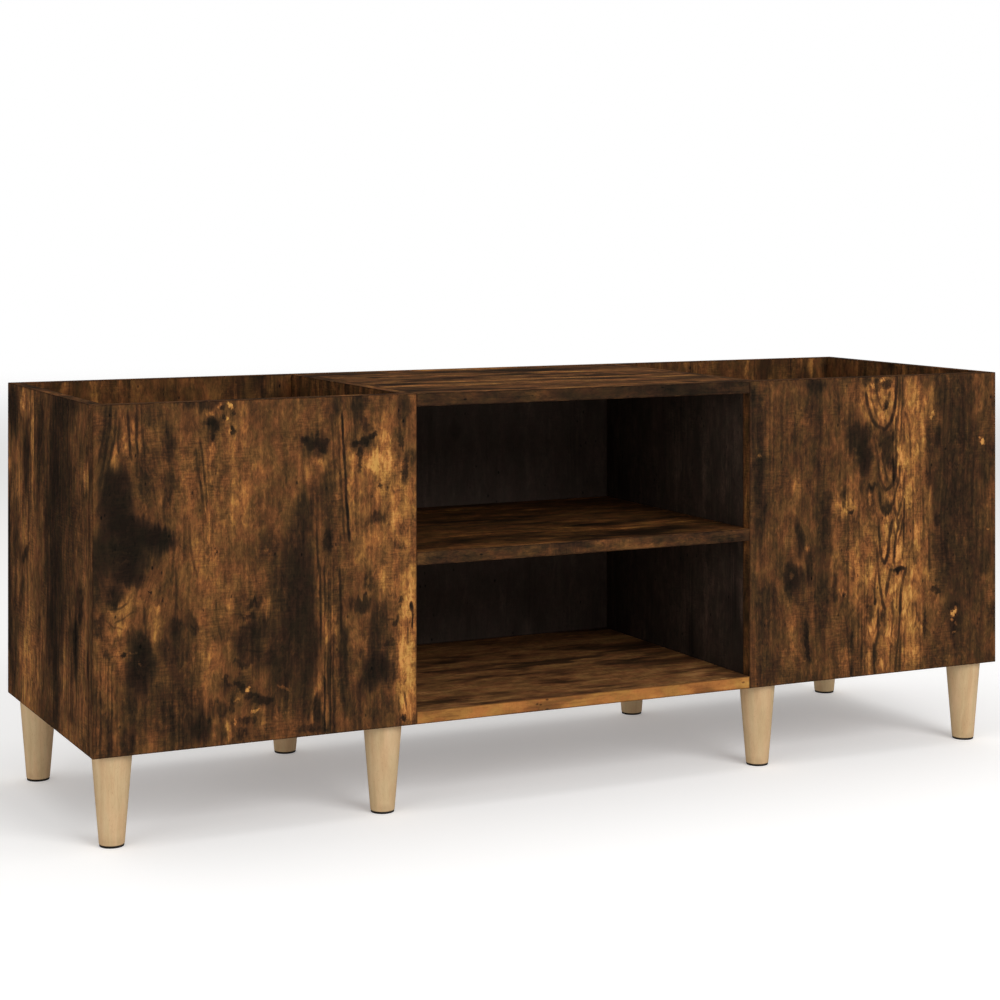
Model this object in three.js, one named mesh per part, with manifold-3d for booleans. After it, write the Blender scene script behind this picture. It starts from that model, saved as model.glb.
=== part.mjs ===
// Low record cabinet: two open-topped record bins joined by a two-tier open
// centre section, standing on eight turned and tapered wooden legs.
// Millimetres. +X to the right, +Y to the back (the front faces -Y), +Z up.
// The origin is on the floor, below the middle of the cabinet.

import * as THREE from 'three';
import { mergeVertices } from 'three/addons/utils/BufferGeometryUtils.js';
import Module from 'manifold-3d';

const wasm = await Module();
wasm.setup();

// ---------------------------------------------------------------- dimensions

// Carcass
const WIDTH = 1210;            // over both side panels
const DEPTH = 380;             // over the front and back panels
const BODY_HEIGHT = 380;       // underside to rim
const UNDERSIDE = 103;         // floor to the underside of the carcass
const BOARD = 15;              // thickness of every panel
const BIN_WIDTH = 380;         // each record bin, outside

// Inside of the bins
const RECORD_FLOOR_TOP = 178;  // height of the raised floor that the sleeves stand on
const RAIL_Y = 118;            // middle of the two rails under each raised floor

// Centre section
const SHELF_TOP = 300.5;       // upper face of the shelf

// Legs
const LEG_INSET = 30;          // leg axis in from the outer faces of its bin
const LEG_TOP_R = 22.3;
const LEG_FOOT_R = 14.1;
const GLIDE_HEIGHT = 2.5;      // plastic glide under each leg
const GLIDE_R = 13.6;
const LEG_SEGMENTS = 32;

// Leg fastening: a hanger bolt in the leg, a threaded insert in the board
const BOLT_R = 3.95;
const BOLT_HOLE_R = 4.2;
const BOLT_IN_LEG = 37;
const INSERT_R = 6;
const INSERT_FLANGE_R = 8;
const INSERT_LENGTH = 12.1;

// Cam connectors between the centre boards and the dividers
const CAM_R = 7.25;
const CAM_HEIGHT = 11.9;
const CAM_BACKSET = 34;        // cam axis in from the board's end
const CAM_Y = 130;
const CAM_BOLT_R = 3.3;
const CAM_BOLT_THREAD_R = 2.6;
const CAM_BOLT_IN_DIVIDER = 10.8;

// Derived
const RIM = UNDERSIDE + BODY_HEIGHT;
const HALF_W = WIDTH / 2;
const HALF_D = DEPTH / 2;
const BIN_INNER_FACE = HALF_W - BIN_WIDTH;                 // outer face of a divider, towards the centre
const LEG_X = [HALF_W - LEG_INSET, BIN_INNER_FACE + LEG_INSET];
const LEG_Y = HALF_D - LEG_INSET;

// ----------------------------------------------------------------- materials

const smokedOak = () => new THREE.MeshStandardMaterial({ color: 0x4e3019, roughness: 0.5, metalness: 0 });
const paleWood = () => new THREE.MeshStandardMaterial({ color: 0xc3a87f, roughness: 0.55, metalness: 0 });
const darkPlastic = () => new THREE.MeshStandardMaterial({ color: 0x1c1613, roughness: 0.6, metalness: 0 });
const zincSteel = () => new THREE.MeshStandardMaterial({ color: 0xa9a8a4, roughness: 0.35, metalness: 1 });

// ------------------------------------------------------------------- helpers

// Shared vertices merged, triangles without area dropped, faces pointing out.
function closed(geometry) {
  const g = geometry.clone();
  for (const name of Object.keys(g.attributes)) if (name !== 'position') g.deleteAttribute(name);
  const merged = mergeVertices(g, 1e-3);
  const p = merged.attributes.position;
  const index = merged.index.array;
  const kept = [];
  let volume = 0;
  const [a, b, c] = [new THREE.Vector3(), new THREE.Vector3(), new THREE.Vector3()];
  for (let i = 0; i < index.length; i += 3) {
    const [u, v, w] = [index[i], index[i + 1], index[i + 2]];
    if (u === v || v === w || w === u) continue;
    kept.push(u, v, w);
    a.fromBufferAttribute(p, u);
    b.fromBufferAttribute(p, v);
    c.fromBufferAttribute(p, w);
    volume += a.dot(b.clone().cross(c)) / 6;
  }
  if (volume < 0) for (let i = 0; i < kept.length; i += 3) [kept[i + 1], kept[i + 2]] = [kept[i + 2], kept[i + 1]];
  const out = new THREE.BufferGeometry();
  out.setAttribute('position', p.clone());
  out.setIndex(kept);
  return out;
}

function toSolid(geometry) {
  const g = closed(geometry);
  return new wasm.Manifold(new wasm.Mesh({
    numProp: 3,
    vertProperties: Float32Array.from(g.attributes.position.array),
    triVerts: Uint32Array.from(g.index.array),
  }));
}

function toGeometry(solid) {
  const m = solid.getMesh();
  const out = new THREE.BufferGeometry();
  out.setAttribute('position', new THREE.BufferAttribute(Float32Array.from(m.vertProperties), 3));
  out.setIndex(Array.from(m.triVerts));
  return out;
}

function cut(geometry, cutters) {
  let solid = toSolid(geometry);
  for (const cutter of cutters) solid = solid.subtract(toSolid(cutter));
  return toGeometry(solid);
}

// A profile of [radius, height] pairs turned about +Z.
function turned(profile, segments) {
  const g = new THREE.LatheGeometry(profile.map(([r, z]) => new THREE.Vector2(r, z)), segments);
  g.rotateX(Math.PI / 2);
  return closed(g);
}

// A drilled hole or a rod, as a cylinder along Z from z0 to z1.
function drillZ(r, x, y, z0, z1, segments = 24) {
  const g = new THREE.CylinderGeometry(r, r, z1 - z0, segments);
  g.rotateX(Math.PI / 2);
  g.translate(x, y, (z0 + z1) / 2);
  return g;
}

// The same along X.
function drillX(r, x0, x1, y, z, segments = 16) {
  const g = new THREE.CylinderGeometry(r, r, Math.abs(x1 - x0), segments);
  g.rotateZ(Math.PI / 2);
  g.translate((x0 + x1) / 2, y, z);
  return g;
}

function mesh(name, geometry, material, position = [0, 0, 0]) {
  const g = closed(geometry);
  g.computeVertexNormals();
  const m = new THREE.Mesh(g, material);
  m.name = name;
  m.position.set(...position);
  return m;
}

// A board from one corner to the other, with holes given in cabinet coordinates.
function board(name, [x0, x1], [y0, y1], [z0, z1], holes = []) {
  const [ax, bx] = [Math.min(x0, x1), Math.max(x0, x1)];
  const centre = [(ax + bx) / 2, (y0 + y1) / 2, (z0 + z1) / 2];
  const box = new THREE.BoxGeometry(bx - ax, y1 - y0, z1 - z0);
  const local = holes.map((h) => h.clone().translate(-centre[0], -centre[1], -centre[2]));
  return mesh(name, local.length ? cut(box, local) : box, smokedOak(), centre);
}

// ------------------------------------------------------------ shared drawing

// Heights of the undersides of the two centre boards that the cams pull in.
const TOP_BOARD_Z = RIM - BOARD;
const BOTTOM_BOARD_Z = UNDERSIDE;
const CAM_AXIS_Z = BOARD / 2;   // the connector bolt runs at mid thickness

// Pocket for the cam and bore for its bolt, in a centre board.
function camPocket(side, y, boardZ) {
  const x = side * (BIN_INNER_FACE - CAM_BACKSET);
  return [
    drillZ(CAM_R + 0.25, x, y, boardZ - 1, boardZ + CAM_HEIGHT + 0.6),
    drillX(4, x, side * (BIN_INNER_FACE + 1), y, boardZ + CAM_AXIS_Z),
  ];
}

// Blind hole in a divider for the thread of the connector bolt.
function camThreadHole(side, y, boardZ) {
  return drillX(CAM_BOLT_THREAD_R + 0.35, side * (BIN_INNER_FACE - 1),
    side * (BIN_INNER_FACE + CAM_BOLT_IN_DIVIDER + 0.5), y, boardZ + CAM_AXIS_Z, 12);
}

// Cam drum with its cross recess, holding the head of its bolt.
function camConnector(side) {
  const drum = drillZ(CAM_R, 0, 0, 0.3, 0.3 + CAM_HEIGHT, 24);
  const reach = CAM_BACKSET - 0.3;
  const tip = CAM_BACKSET + CAM_BOLT_IN_DIVIDER;
  const bolt = new THREE.LatheGeometry([
    [0, 3], [CAM_BOLT_R, 3], [CAM_BOLT_R, reach], [CAM_BOLT_THREAD_R, reach],
    [CAM_BOLT_THREAD_R, tip - 1], [CAM_BOLT_THREAD_R - 0.7, tip], [0, tip],
  ].map(([r, l]) => new THREE.Vector2(r, l)), 14);
  bolt.rotateZ(side > 0 ? -Math.PI / 2 : Math.PI / 2);
  bolt.translate(0, 0, CAM_AXIS_Z);
  const slotA = new THREE.BoxGeometry(8, 1.5, 5);
  slotA.rotateZ(Math.PI / 4);
  const slotB = new THREE.BoxGeometry(1.5, 8, 5);
  slotB.rotateZ(Math.PI / 4);
  return toGeometry(toSolid(drum).add(toSolid(bolt)).subtract(toSolid(slotA)).subtract(toSolid(slotB)));
}

// Stepped hole for a leg insert, from the underside of a bin's bottom board.
function insertHole(x, y) {
  return [
    drillZ(INSERT_FLANGE_R + 0.25, x, y, UNDERSIDE - 1, UNDERSIDE + 1.5),
    drillZ(INSERT_R + 0.2, x, y, UNDERSIDE - 1, UNDERSIDE + INSERT_LENGTH + 0.5),
  ];
}

// --------------------------------------------------------------------- bins

function recordBin(side) {
  const word = side < 0 ? 'left' : 'right';
  const bin = new THREE.Group();
  const outer = [side * (HALF_W - BOARD), side * HALF_W];
  const inner = [side * BIN_INNER_FACE, side * (BIN_INNER_FACE + BOARD)];
  const inside = [side * (BIN_INNER_FACE + BOARD), side * (HALF_W - BOARD)];
  const behindFront = [-HALF_D + BOARD, HALF_D];
  const between = [-HALF_D + BOARD, HALF_D - BOARD];
  const full = [UNDERSIDE, RIM];

  bin.add(board(`${word}_side_panel`, outer, behindFront, full));
  bin.add(board(`${word}_divider_panel`, inner, behindFront, full,
    [TOP_BOARD_Z, BOTTOM_BOARD_Z].flatMap((z) => [-CAM_Y, CAM_Y].map((y) => camThreadHole(side, y, z)))));
  // The front panel covers the front edges of the side and divider panels.
  bin.add(board(`${word}_front_panel`, [side * BIN_INNER_FACE, side * HALF_W], [-HALF_D, -HALF_D + BOARD], full));
  bin.add(board(`${word}_back_panel`, inside, [HALF_D - BOARD, HALF_D], full));
  bin.add(board(`${word}_bottom_board`, inside, between, [UNDERSIDE, UNDERSIDE + BOARD],
    LEG_X.flatMap((x) => [-LEG_Y, LEG_Y].flatMap((y) => insertHole(side * x, y)))));
  // Raised floor on two rails, so that sleeves stand a little proud of the rim.
  bin.add(board(`${word}_record_floor`, inside, between, [RECORD_FLOOR_TOP - BOARD, RECORD_FLOOR_TOP]));
  for (const [place, y] of [['front', -RAIL_Y], ['rear', RAIL_Y]]) {
    bin.add(board(`${word}_${place}_floor_rail`, inside, [y - BOARD / 2, y + BOARD / 2],
      [UNDERSIDE + BOARD, RECORD_FLOOR_TOP - BOARD]));
  }
  return bin;
}

// ----------------------------------------------------------- centre section

function centreSection() {
  const centre = new THREE.Group();
  const across = [-BIN_INNER_FACE, BIN_INNER_FACE];
  const fullDepth = [-HALF_D, HALF_D];
  const pockets = (z) => [-1, 1].flatMap((s) => [-CAM_Y, CAM_Y].flatMap((y) => camPocket(s, y, z)));

  centre.add(board('centre_top_board', across, fullDepth, [RIM - BOARD, RIM], pockets(TOP_BOARD_Z)));
  centre.add(board('centre_shelf', across, [-HALF_D, HALF_D - BOARD], [SHELF_TOP - BOARD, SHELF_TOP]));
  centre.add(board('centre_bottom_board', across, fullDepth, [UNDERSIDE, UNDERSIDE + BOARD], pockets(BOTTOM_BOARD_Z)));
  centre.add(board('centre_back_panel', across, [HALF_D - BOARD, HALF_D], [UNDERSIDE + BOARD, RIM - BOARD]));

  for (const [level, z] of [['top', TOP_BOARD_Z], ['bottom', BOTTOM_BOARD_Z]]) {
    for (const side of [-1, 1]) {
      for (const [place, y] of [['front', -CAM_Y], ['rear', CAM_Y]]) {
        centre.add(mesh(`${level}_${side < 0 ? 'left' : 'right'}_${place}_cam_connector`,
          camConnector(side), zincSteel(), [side * (BIN_INNER_FACE - CAM_BACKSET), y, z]));
      }
    }
  }
  return centre;
}

// --------------------------------------------------------------------- legs

// Everything on one leg axis: the turned leg, its bolt, the insert and the glide.
function legAssembly(prefix, x, y) {
  const leg = new THREE.Group();
  leg.position.set(x, y, 0);
  const foot = GLIDE_HEIGHT;
  const top = UNDERSIDE;

  leg.add(mesh(`${prefix}_leg`, turned([
    [0, foot + 17], [1.4, foot + 17], [1.4, foot],
    [LEG_FOOT_R - 0.9, foot], [LEG_FOOT_R, foot + 0.9],
    [LEG_TOP_R, top - 0.6], [LEG_TOP_R - 0.6, top],
    [BOLT_HOLE_R, top], [BOLT_HOLE_R, top - BOLT_IN_LEG - 2], [0, top - BOLT_IN_LEG - 2],
  ], LEG_SEGMENTS), paleWood()));

  leg.add(mesh(`${prefix}_leg_bolt`, turned([
    [0, top - BOLT_IN_LEG], [1, top - BOLT_IN_LEG], [BOLT_R - 0.35, top - BOLT_IN_LEG + 6],
    [BOLT_R - 0.35, top - 3], [BOLT_R, top - 2],
    [BOLT_R, top + INSERT_LENGTH - 1], [BOLT_R - 0.7, top + INSERT_LENGTH], [0, top + INSERT_LENGTH],
  ], 16), zincSteel()));

  leg.add(mesh(`${prefix}_insert_nut`, turned([
    [BOLT_HOLE_R, top + 0.1], [INSERT_FLANGE_R, top + 0.1], [INSERT_FLANGE_R, top + 1.3],
    [INSERT_R, top + 1.3], [INSERT_R, top + INSERT_LENGTH], [BOLT_HOLE_R, top + INSERT_LENGTH],
    [BOLT_HOLE_R, top + 0.1],
  ], 24), zincSteel()));

  leg.add(mesh(`${prefix}_glide`, turned([
    [0, 0], [GLIDE_R - 0.9, 0], [GLIDE_R, 0.9], [GLIDE_R, foot - 0.05],
    [1.1, foot - 0.05], [1.1, foot + 14], [0, foot + 15.5],
  ], 28), darkPlastic()));
  return leg;
}

// ------------------------------------------------------------------ assembly

const cabinet = new THREE.Group();
cabinet.add(recordBin(-1), recordBin(1), centreSection());
for (const side of [-1, 1]) {
  for (const [i, across] of [[0, 'outer'], [1, 'inner']]) {
    for (const [place, y] of [['front', -LEG_Y], ['rear', LEG_Y]]) {
      cabinet.add(legAssembly(`${side < 0 ? 'left' : 'right'}_${across}_${place}`, side * LEG_X[i], y));
    }
  }
}

export default cabinet;
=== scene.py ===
import math

import bmesh
import bpy
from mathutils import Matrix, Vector


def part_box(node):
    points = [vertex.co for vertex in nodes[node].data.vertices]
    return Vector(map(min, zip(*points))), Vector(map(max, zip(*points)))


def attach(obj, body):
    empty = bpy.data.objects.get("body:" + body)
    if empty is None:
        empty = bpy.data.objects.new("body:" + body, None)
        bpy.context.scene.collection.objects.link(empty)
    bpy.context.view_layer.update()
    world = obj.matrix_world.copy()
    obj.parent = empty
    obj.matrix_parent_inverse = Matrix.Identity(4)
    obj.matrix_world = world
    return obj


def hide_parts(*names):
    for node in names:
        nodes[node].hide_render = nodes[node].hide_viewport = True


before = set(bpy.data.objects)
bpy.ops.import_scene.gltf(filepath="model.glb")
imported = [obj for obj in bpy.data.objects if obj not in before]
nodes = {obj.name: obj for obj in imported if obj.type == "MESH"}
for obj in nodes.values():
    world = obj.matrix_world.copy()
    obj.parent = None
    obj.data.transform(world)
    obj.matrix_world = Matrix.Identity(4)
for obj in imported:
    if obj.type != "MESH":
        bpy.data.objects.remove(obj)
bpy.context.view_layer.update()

scene = bpy.context.scene


# ------------------------------------------------------------------ colours

def lin(c):
    """sRGB 0-255 to scene-linear, with alpha."""
    out = []
    for v in c:
        v = v / 255.0
        out.append(v / 12.92 if v <= 0.04045 else ((v + 0.055) / 1.055) ** 2.4)
    return (*out, 1.0)


# ---------------------------------------------------------------- node tree

class Tree:
    """Short calls for building a material's nodes. A value is a socket or a number."""

    def __init__(self, name, group=None):
        self.cache = {}
        if group is not None:
            self.nt = group
            return
        self.mat = bpy.data.materials.new(name)
        self.mat.use_nodes = True
        self.nt = self.mat.node_tree
        self.nt.nodes.clear()
        self.out = self.nt.nodes.new("ShaderNodeOutputMaterial")
        self.bsdf = self.nt.nodes.new("ShaderNodeBsdfPrincipled")
        self.nt.links.new(self.bsdf.outputs[0], self.out.inputs["Surface"])

    def put(self, socket, value):
        if value is None:
            return
        if isinstance(value, bpy.types.NodeSocket):
            self.nt.links.new(value, socket)
        else:
            socket.default_value = value

    def new(self, kind):
        return self.nt.nodes.new(kind)

    def coord(self, which="Object"):
        if which not in self.cache:
            self.cache[which] = self.new("ShaderNodeTexCoord").outputs[which]
        return self.cache[which]

    def math(self, op, a, b=None, c=None, clamp=False):
        n = self.new("ShaderNodeMath")
        n.operation = op
        n.use_clamp = clamp
        for s, v in zip(n.inputs, (a, b, c)):
            self.put(s, v)
        return n.outputs[0]

    def add(self, a, b): return self.math("ADD", a, b)
    def sub(self, a, b): return self.math("SUBTRACT", a, b)
    def mul(self, a, b): return self.math("MULTIPLY", a, b)
    def madd(self, a, b, c): return self.math("MULTIPLY_ADD", a, b, c)

    def vec(self, x, y=0.0, z=0.0):
        n = self.new("ShaderNodeCombineXYZ")
        for s, v in zip(n.inputs, (x, y, z)):
            self.put(s, v)
        return n.outputs[0]

    def split(self, v):
        n = self.new("ShaderNodeSeparateXYZ")
        self.put(n.inputs[0], v)
        return n.outputs[0], n.outputs[1], n.outputs[2]

    def vmath(self, op, a, b=None, c=None):
        n = self.new("ShaderNodeVectorMath")
        n.operation = op
        self.put(n.inputs[0], a)
        self.put(n.inputs[1], b)
        if c is not None:
            self.put(n.inputs[2], c)
        return n.outputs["Value"] if op in ("LENGTH", "DOT_PRODUCT", "DISTANCE") else n.outputs["Vector"]

    def scaled(self, v, sx, sy, sz=1.0):
        """v divided by a size along each axis."""
        n = self.new("ShaderNodeMapping")
        n.vector_type = "POINT"
        self.put(n.inputs["Vector"], v)
        n.inputs["Scale"].default_value = (1.0 / sx, 1.0 / sy, 1.0 / sz)
        return n.outputs[0]

    def noise(self, v, detail=2.0, rough=0.5, distort=0.0, colour=False, lac=2.0):
        n = self.new("ShaderNodeTexNoise")
        n.noise_dimensions = "3D"
        self.put(n.inputs["Vector"], v)
        n.inputs["Scale"].default_value = 1.0
        n.inputs["Detail"].default_value = detail
        n.inputs["Roughness"].default_value = rough
        n.inputs["Lacunarity"].default_value = lac
        n.inputs["Distortion"].default_value = distort
        return n.outputs["Color" if colour else "Fac"]

    def voronoi(self, v, feature="F1", out="Distance", randomness=1.0):
        n = self.new("ShaderNodeTexVoronoi")
        n.feature = feature
        self.put(n.inputs["Vector"], v)
        n.inputs["Scale"].default_value = 1.0
        n.inputs["Randomness"].default_value = randomness
        return n.outputs[out]

    def remap(self, x, a, b, c=0.0, d=1.0, smooth=True):
        n = self.new("ShaderNodeMapRange")
        n.interpolation_type = "SMOOTHSTEP" if smooth else "LINEAR"
        n.clamp = not smooth  # a smooth step is within its limits by itself
        for s, v in zip(n.inputs, (x, a, b, c, d)):
            self.put(s, v)
        return n.outputs[0]

    def call(self, group, *values):
        """One use of a node group; its first output."""
        n = self.new("ShaderNodeGroup")
        n.node_tree = group
        for socket, v in zip(n.inputs, values):
            self.put(socket, v)
        return n.outputs[0]

    def mix(self, f, a, b, blend="MIX"):
        n = self.new("ShaderNodeMix")
        n.data_type = "RGBA"
        n.blend_type = blend
        n.clamp_factor = True
        self.put(n.inputs[0], f)
        self.put(n.inputs[6], a)
        self.put(n.inputs[7], b)
        return n.outputs[2]

    def choose(self, f, a, b):
        """a where f is 0, b where f is 1."""
        n = self.new("ShaderNodeMix")
        n.data_type = "FLOAT"
        n.clamp_factor = True
        self.put(n.inputs[0], f)
        self.put(n.inputs[2], a)
        self.put(n.inputs[3], b)
        return n.outputs[0]

    def ramp(self, f, stops, interpolation="LINEAR"):
        n = self.new("ShaderNodeValToRGB")
        n.color_ramp.interpolation = interpolation
        e = n.color_ramp.elements
        while len(e) > 1:
            e.remove(e[-1])
        e[0].position, e[0].color = stops[0][0], stops[0][1]
        for p, c in stops[1:]:
            k = e.new(p)
            k.color = c
        self.put(n.inputs[0], f)
        return n.outputs[0]

    def bump(self, height, strength, distance, normal=None):
        n = self.new("ShaderNodeBump")
        n.inputs["Strength"].default_value = strength
        n.inputs["Distance"].default_value = distance
        self.put(n.inputs["Height"], height)
        if normal is not None:
            self.put(n.inputs["Normal"], normal)
        return n.outputs[0]

    def finish(self, color, rough, normal=None, metallic=0.0, specular=0.5):
        self.put(self.bsdf.inputs["Base Color"], color)
        self.put(self.bsdf.inputs["Roughness"], rough)
        self.put(self.bsdf.inputs["Metallic"], metallic)
        self.bsdf.inputs["Specular IOR Level"].default_value = specular
        if normal is not None:
            self.put(self.bsdf.inputs["Normal"], normal)
        return self.mat


def node_group(name, inputs, build):
    """A node group with the named inputs (a capital first letter is a vector) and one value output."""
    g = bpy.data.node_groups.new(name, "ShaderNodeTree")
    for k in inputs:
        g.interface.new_socket(k, in_out="INPUT", socket_type="NodeSocketVector" if k[0].isupper() else "NodeSocketFloat")
    g.interface.new_socket("out", in_out="OUTPUT", socket_type="NodeSocketFloat")
    t = Tree(name, g)
    i, o = t.new("NodeGroupInput"), t.new("NodeGroupOutput")
    t.put(o.inputs[0], build(t, *[i.outputs[k] for k in range(len(inputs))]))
    return g


def oval_distance(t, at, across, along):
    p, q = t.vmath("DOT_PRODUCT", at, across), t.vmath("DOT_PRODUCT", at, along)
    return t.madd(q, q, t.mul(p, p))


def darken(t, at, across, along, lo, hi, left, before):
    return t.mul(t.remap(oval_distance(t, at, across, along), lo, hi, left, 1.0), before)


def brighten(t, at, across, along, lo, hi, most, before):
    return t.add(t.remap(oval_distance(t, at, across, along), lo, hi, most, 0.0), before)


def line(t, at, across, along, left, before):
    p, q = t.vmath("DOT_PRODUCT", at, across), t.vmath("DOT_PRODUCT", at, along)
    u = t.mul(q, q)
    return t.math("MINIMUM", t.remap(t.madd(p, p, t.mul(u, u)), 0.0, 2.4, left, 1.0), before)


OVAL = node_group("oval", ("At", "Across", "Along"), oval_distance)
DARKEN = node_group("darken", ("At", "Across", "Along", "lo", "hi", "left", "before"), darken)
BRIGHTEN = node_group("brighten", ("At", "Across", "Along", "lo", "hi", "most", "before"), brighten)
LINE = node_group("line", ("At", "Across", "Along", "left", "before"), line)


def axes(x, y, rx, ry, degrees=0.0):
    """What a point (a, l, 1) is multiplied by to have its place across and along an ellipse, in radii."""
    c, s = math.cos(math.radians(degrees)), math.sin(math.radians(degrees))
    return (c / rx, s / rx, -(c * x + s * y) / rx), (-s / ry, c / ry, -(c * y - s * x) / ry)


# ----------------------------------------------------- smoked-oak board decor

# Tone 0 is burnt, 1 is the palest gold.
OAK_TONES = [
    (0.00, lin((15, 12, 9))),
    (0.10, lin((26, 20, 15))),
    (0.24, lin((42, 30, 21))),
    (0.38, lin((60, 41, 26))),
    (0.50, lin((80, 53, 31))),
    (0.62, lin((103, 67, 39))),
    (0.74, lin((129, 85, 46))),
    (0.86, lin((156, 107, 57))),
    (1.00, lin((180, 131, 72))),
]


def board_coords(t, box, grain, seed):
    """Across-the-grain and along-the-grain millimetres on whichever face is shaded, with a seed that differs by face.

    grain is the axis that the decor runs along on the board's two wide faces. A narrow edge carries an edge band, whose grain
    runs along the edge."""
    lo, hi = box
    size = [(hi[i] - lo[i]) * 1000 for i in range(3)]
    p = t.vmath("MULTIPLY", t.coord("Object"), (1000.0, 1000.0, 1000.0))
    xyz = t.split(p)
    n = t.new("ShaderNodeNewGeometry").outputs["Normal"]
    facing = [t.math("GREATER_THAN", t.math("ABSOLUTE", s), 0.707) for s in t.split(n)]
    signed = [t.math("GREATER_THAN", s, 0.3) for s in t.split(n)]
    # For each facing axis, the two axes in the face: (across, along)
    table = {}
    for f in range(3):
        others = [i for i in range(3) if i != f]
        if grain in others and size[f] < 20:  # a wide face
            along = grain
        elif size[f] < 20:
            along = max(others, key=lambda i: size[i])
        else:  # an edge: the band runs along its length
            along = max(others, key=lambda i: size[i])
        across = [i for i in others if i != along][0]
        table[f] = (across, along)
    def pick(k):
        v = xyz[table[1][k]]
        v = t.choose(facing[0], v, xyz[table[0][k]]) if table[0][k] != table[1][k] else v
        return t.choose(facing[2], v, xyz[table[2][k]])
    a, l = pick(0), pick(1)
    wide = min(range(3), key=lambda i: size[i])
    s = seed
    s = t.madd(facing[0], 3.1, s)
    s = t.madd(facing[2], 7.7, s)
    s = t.madd(t.mul(signed[0], facing[0]), 11.3, s)
    s = t.madd(t.mul(signed[1], facing[1]), 5.9, s)
    s = t.madd(t.mul(signed[2], facing[2]), 13.7, s)
    # Distance to the nearest border of the shaded face, for the joint of the edge band.
    border = None
    for f in range(3):
        others = [i for i in range(3) if i != f]
        d = None
        for i in others:
            for v in (t.sub(xyz[i], lo[i] * 1000), t.sub(hi[i] * 1000, xyz[i])):
                d = v if d is None else t.math("MINIMUM", d, v)
        border = d if border is None else t.choose(facing[f], border, d)
    is_wide = facing[wide]
    return a, l, s, border, is_wide, facing, signed


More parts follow.
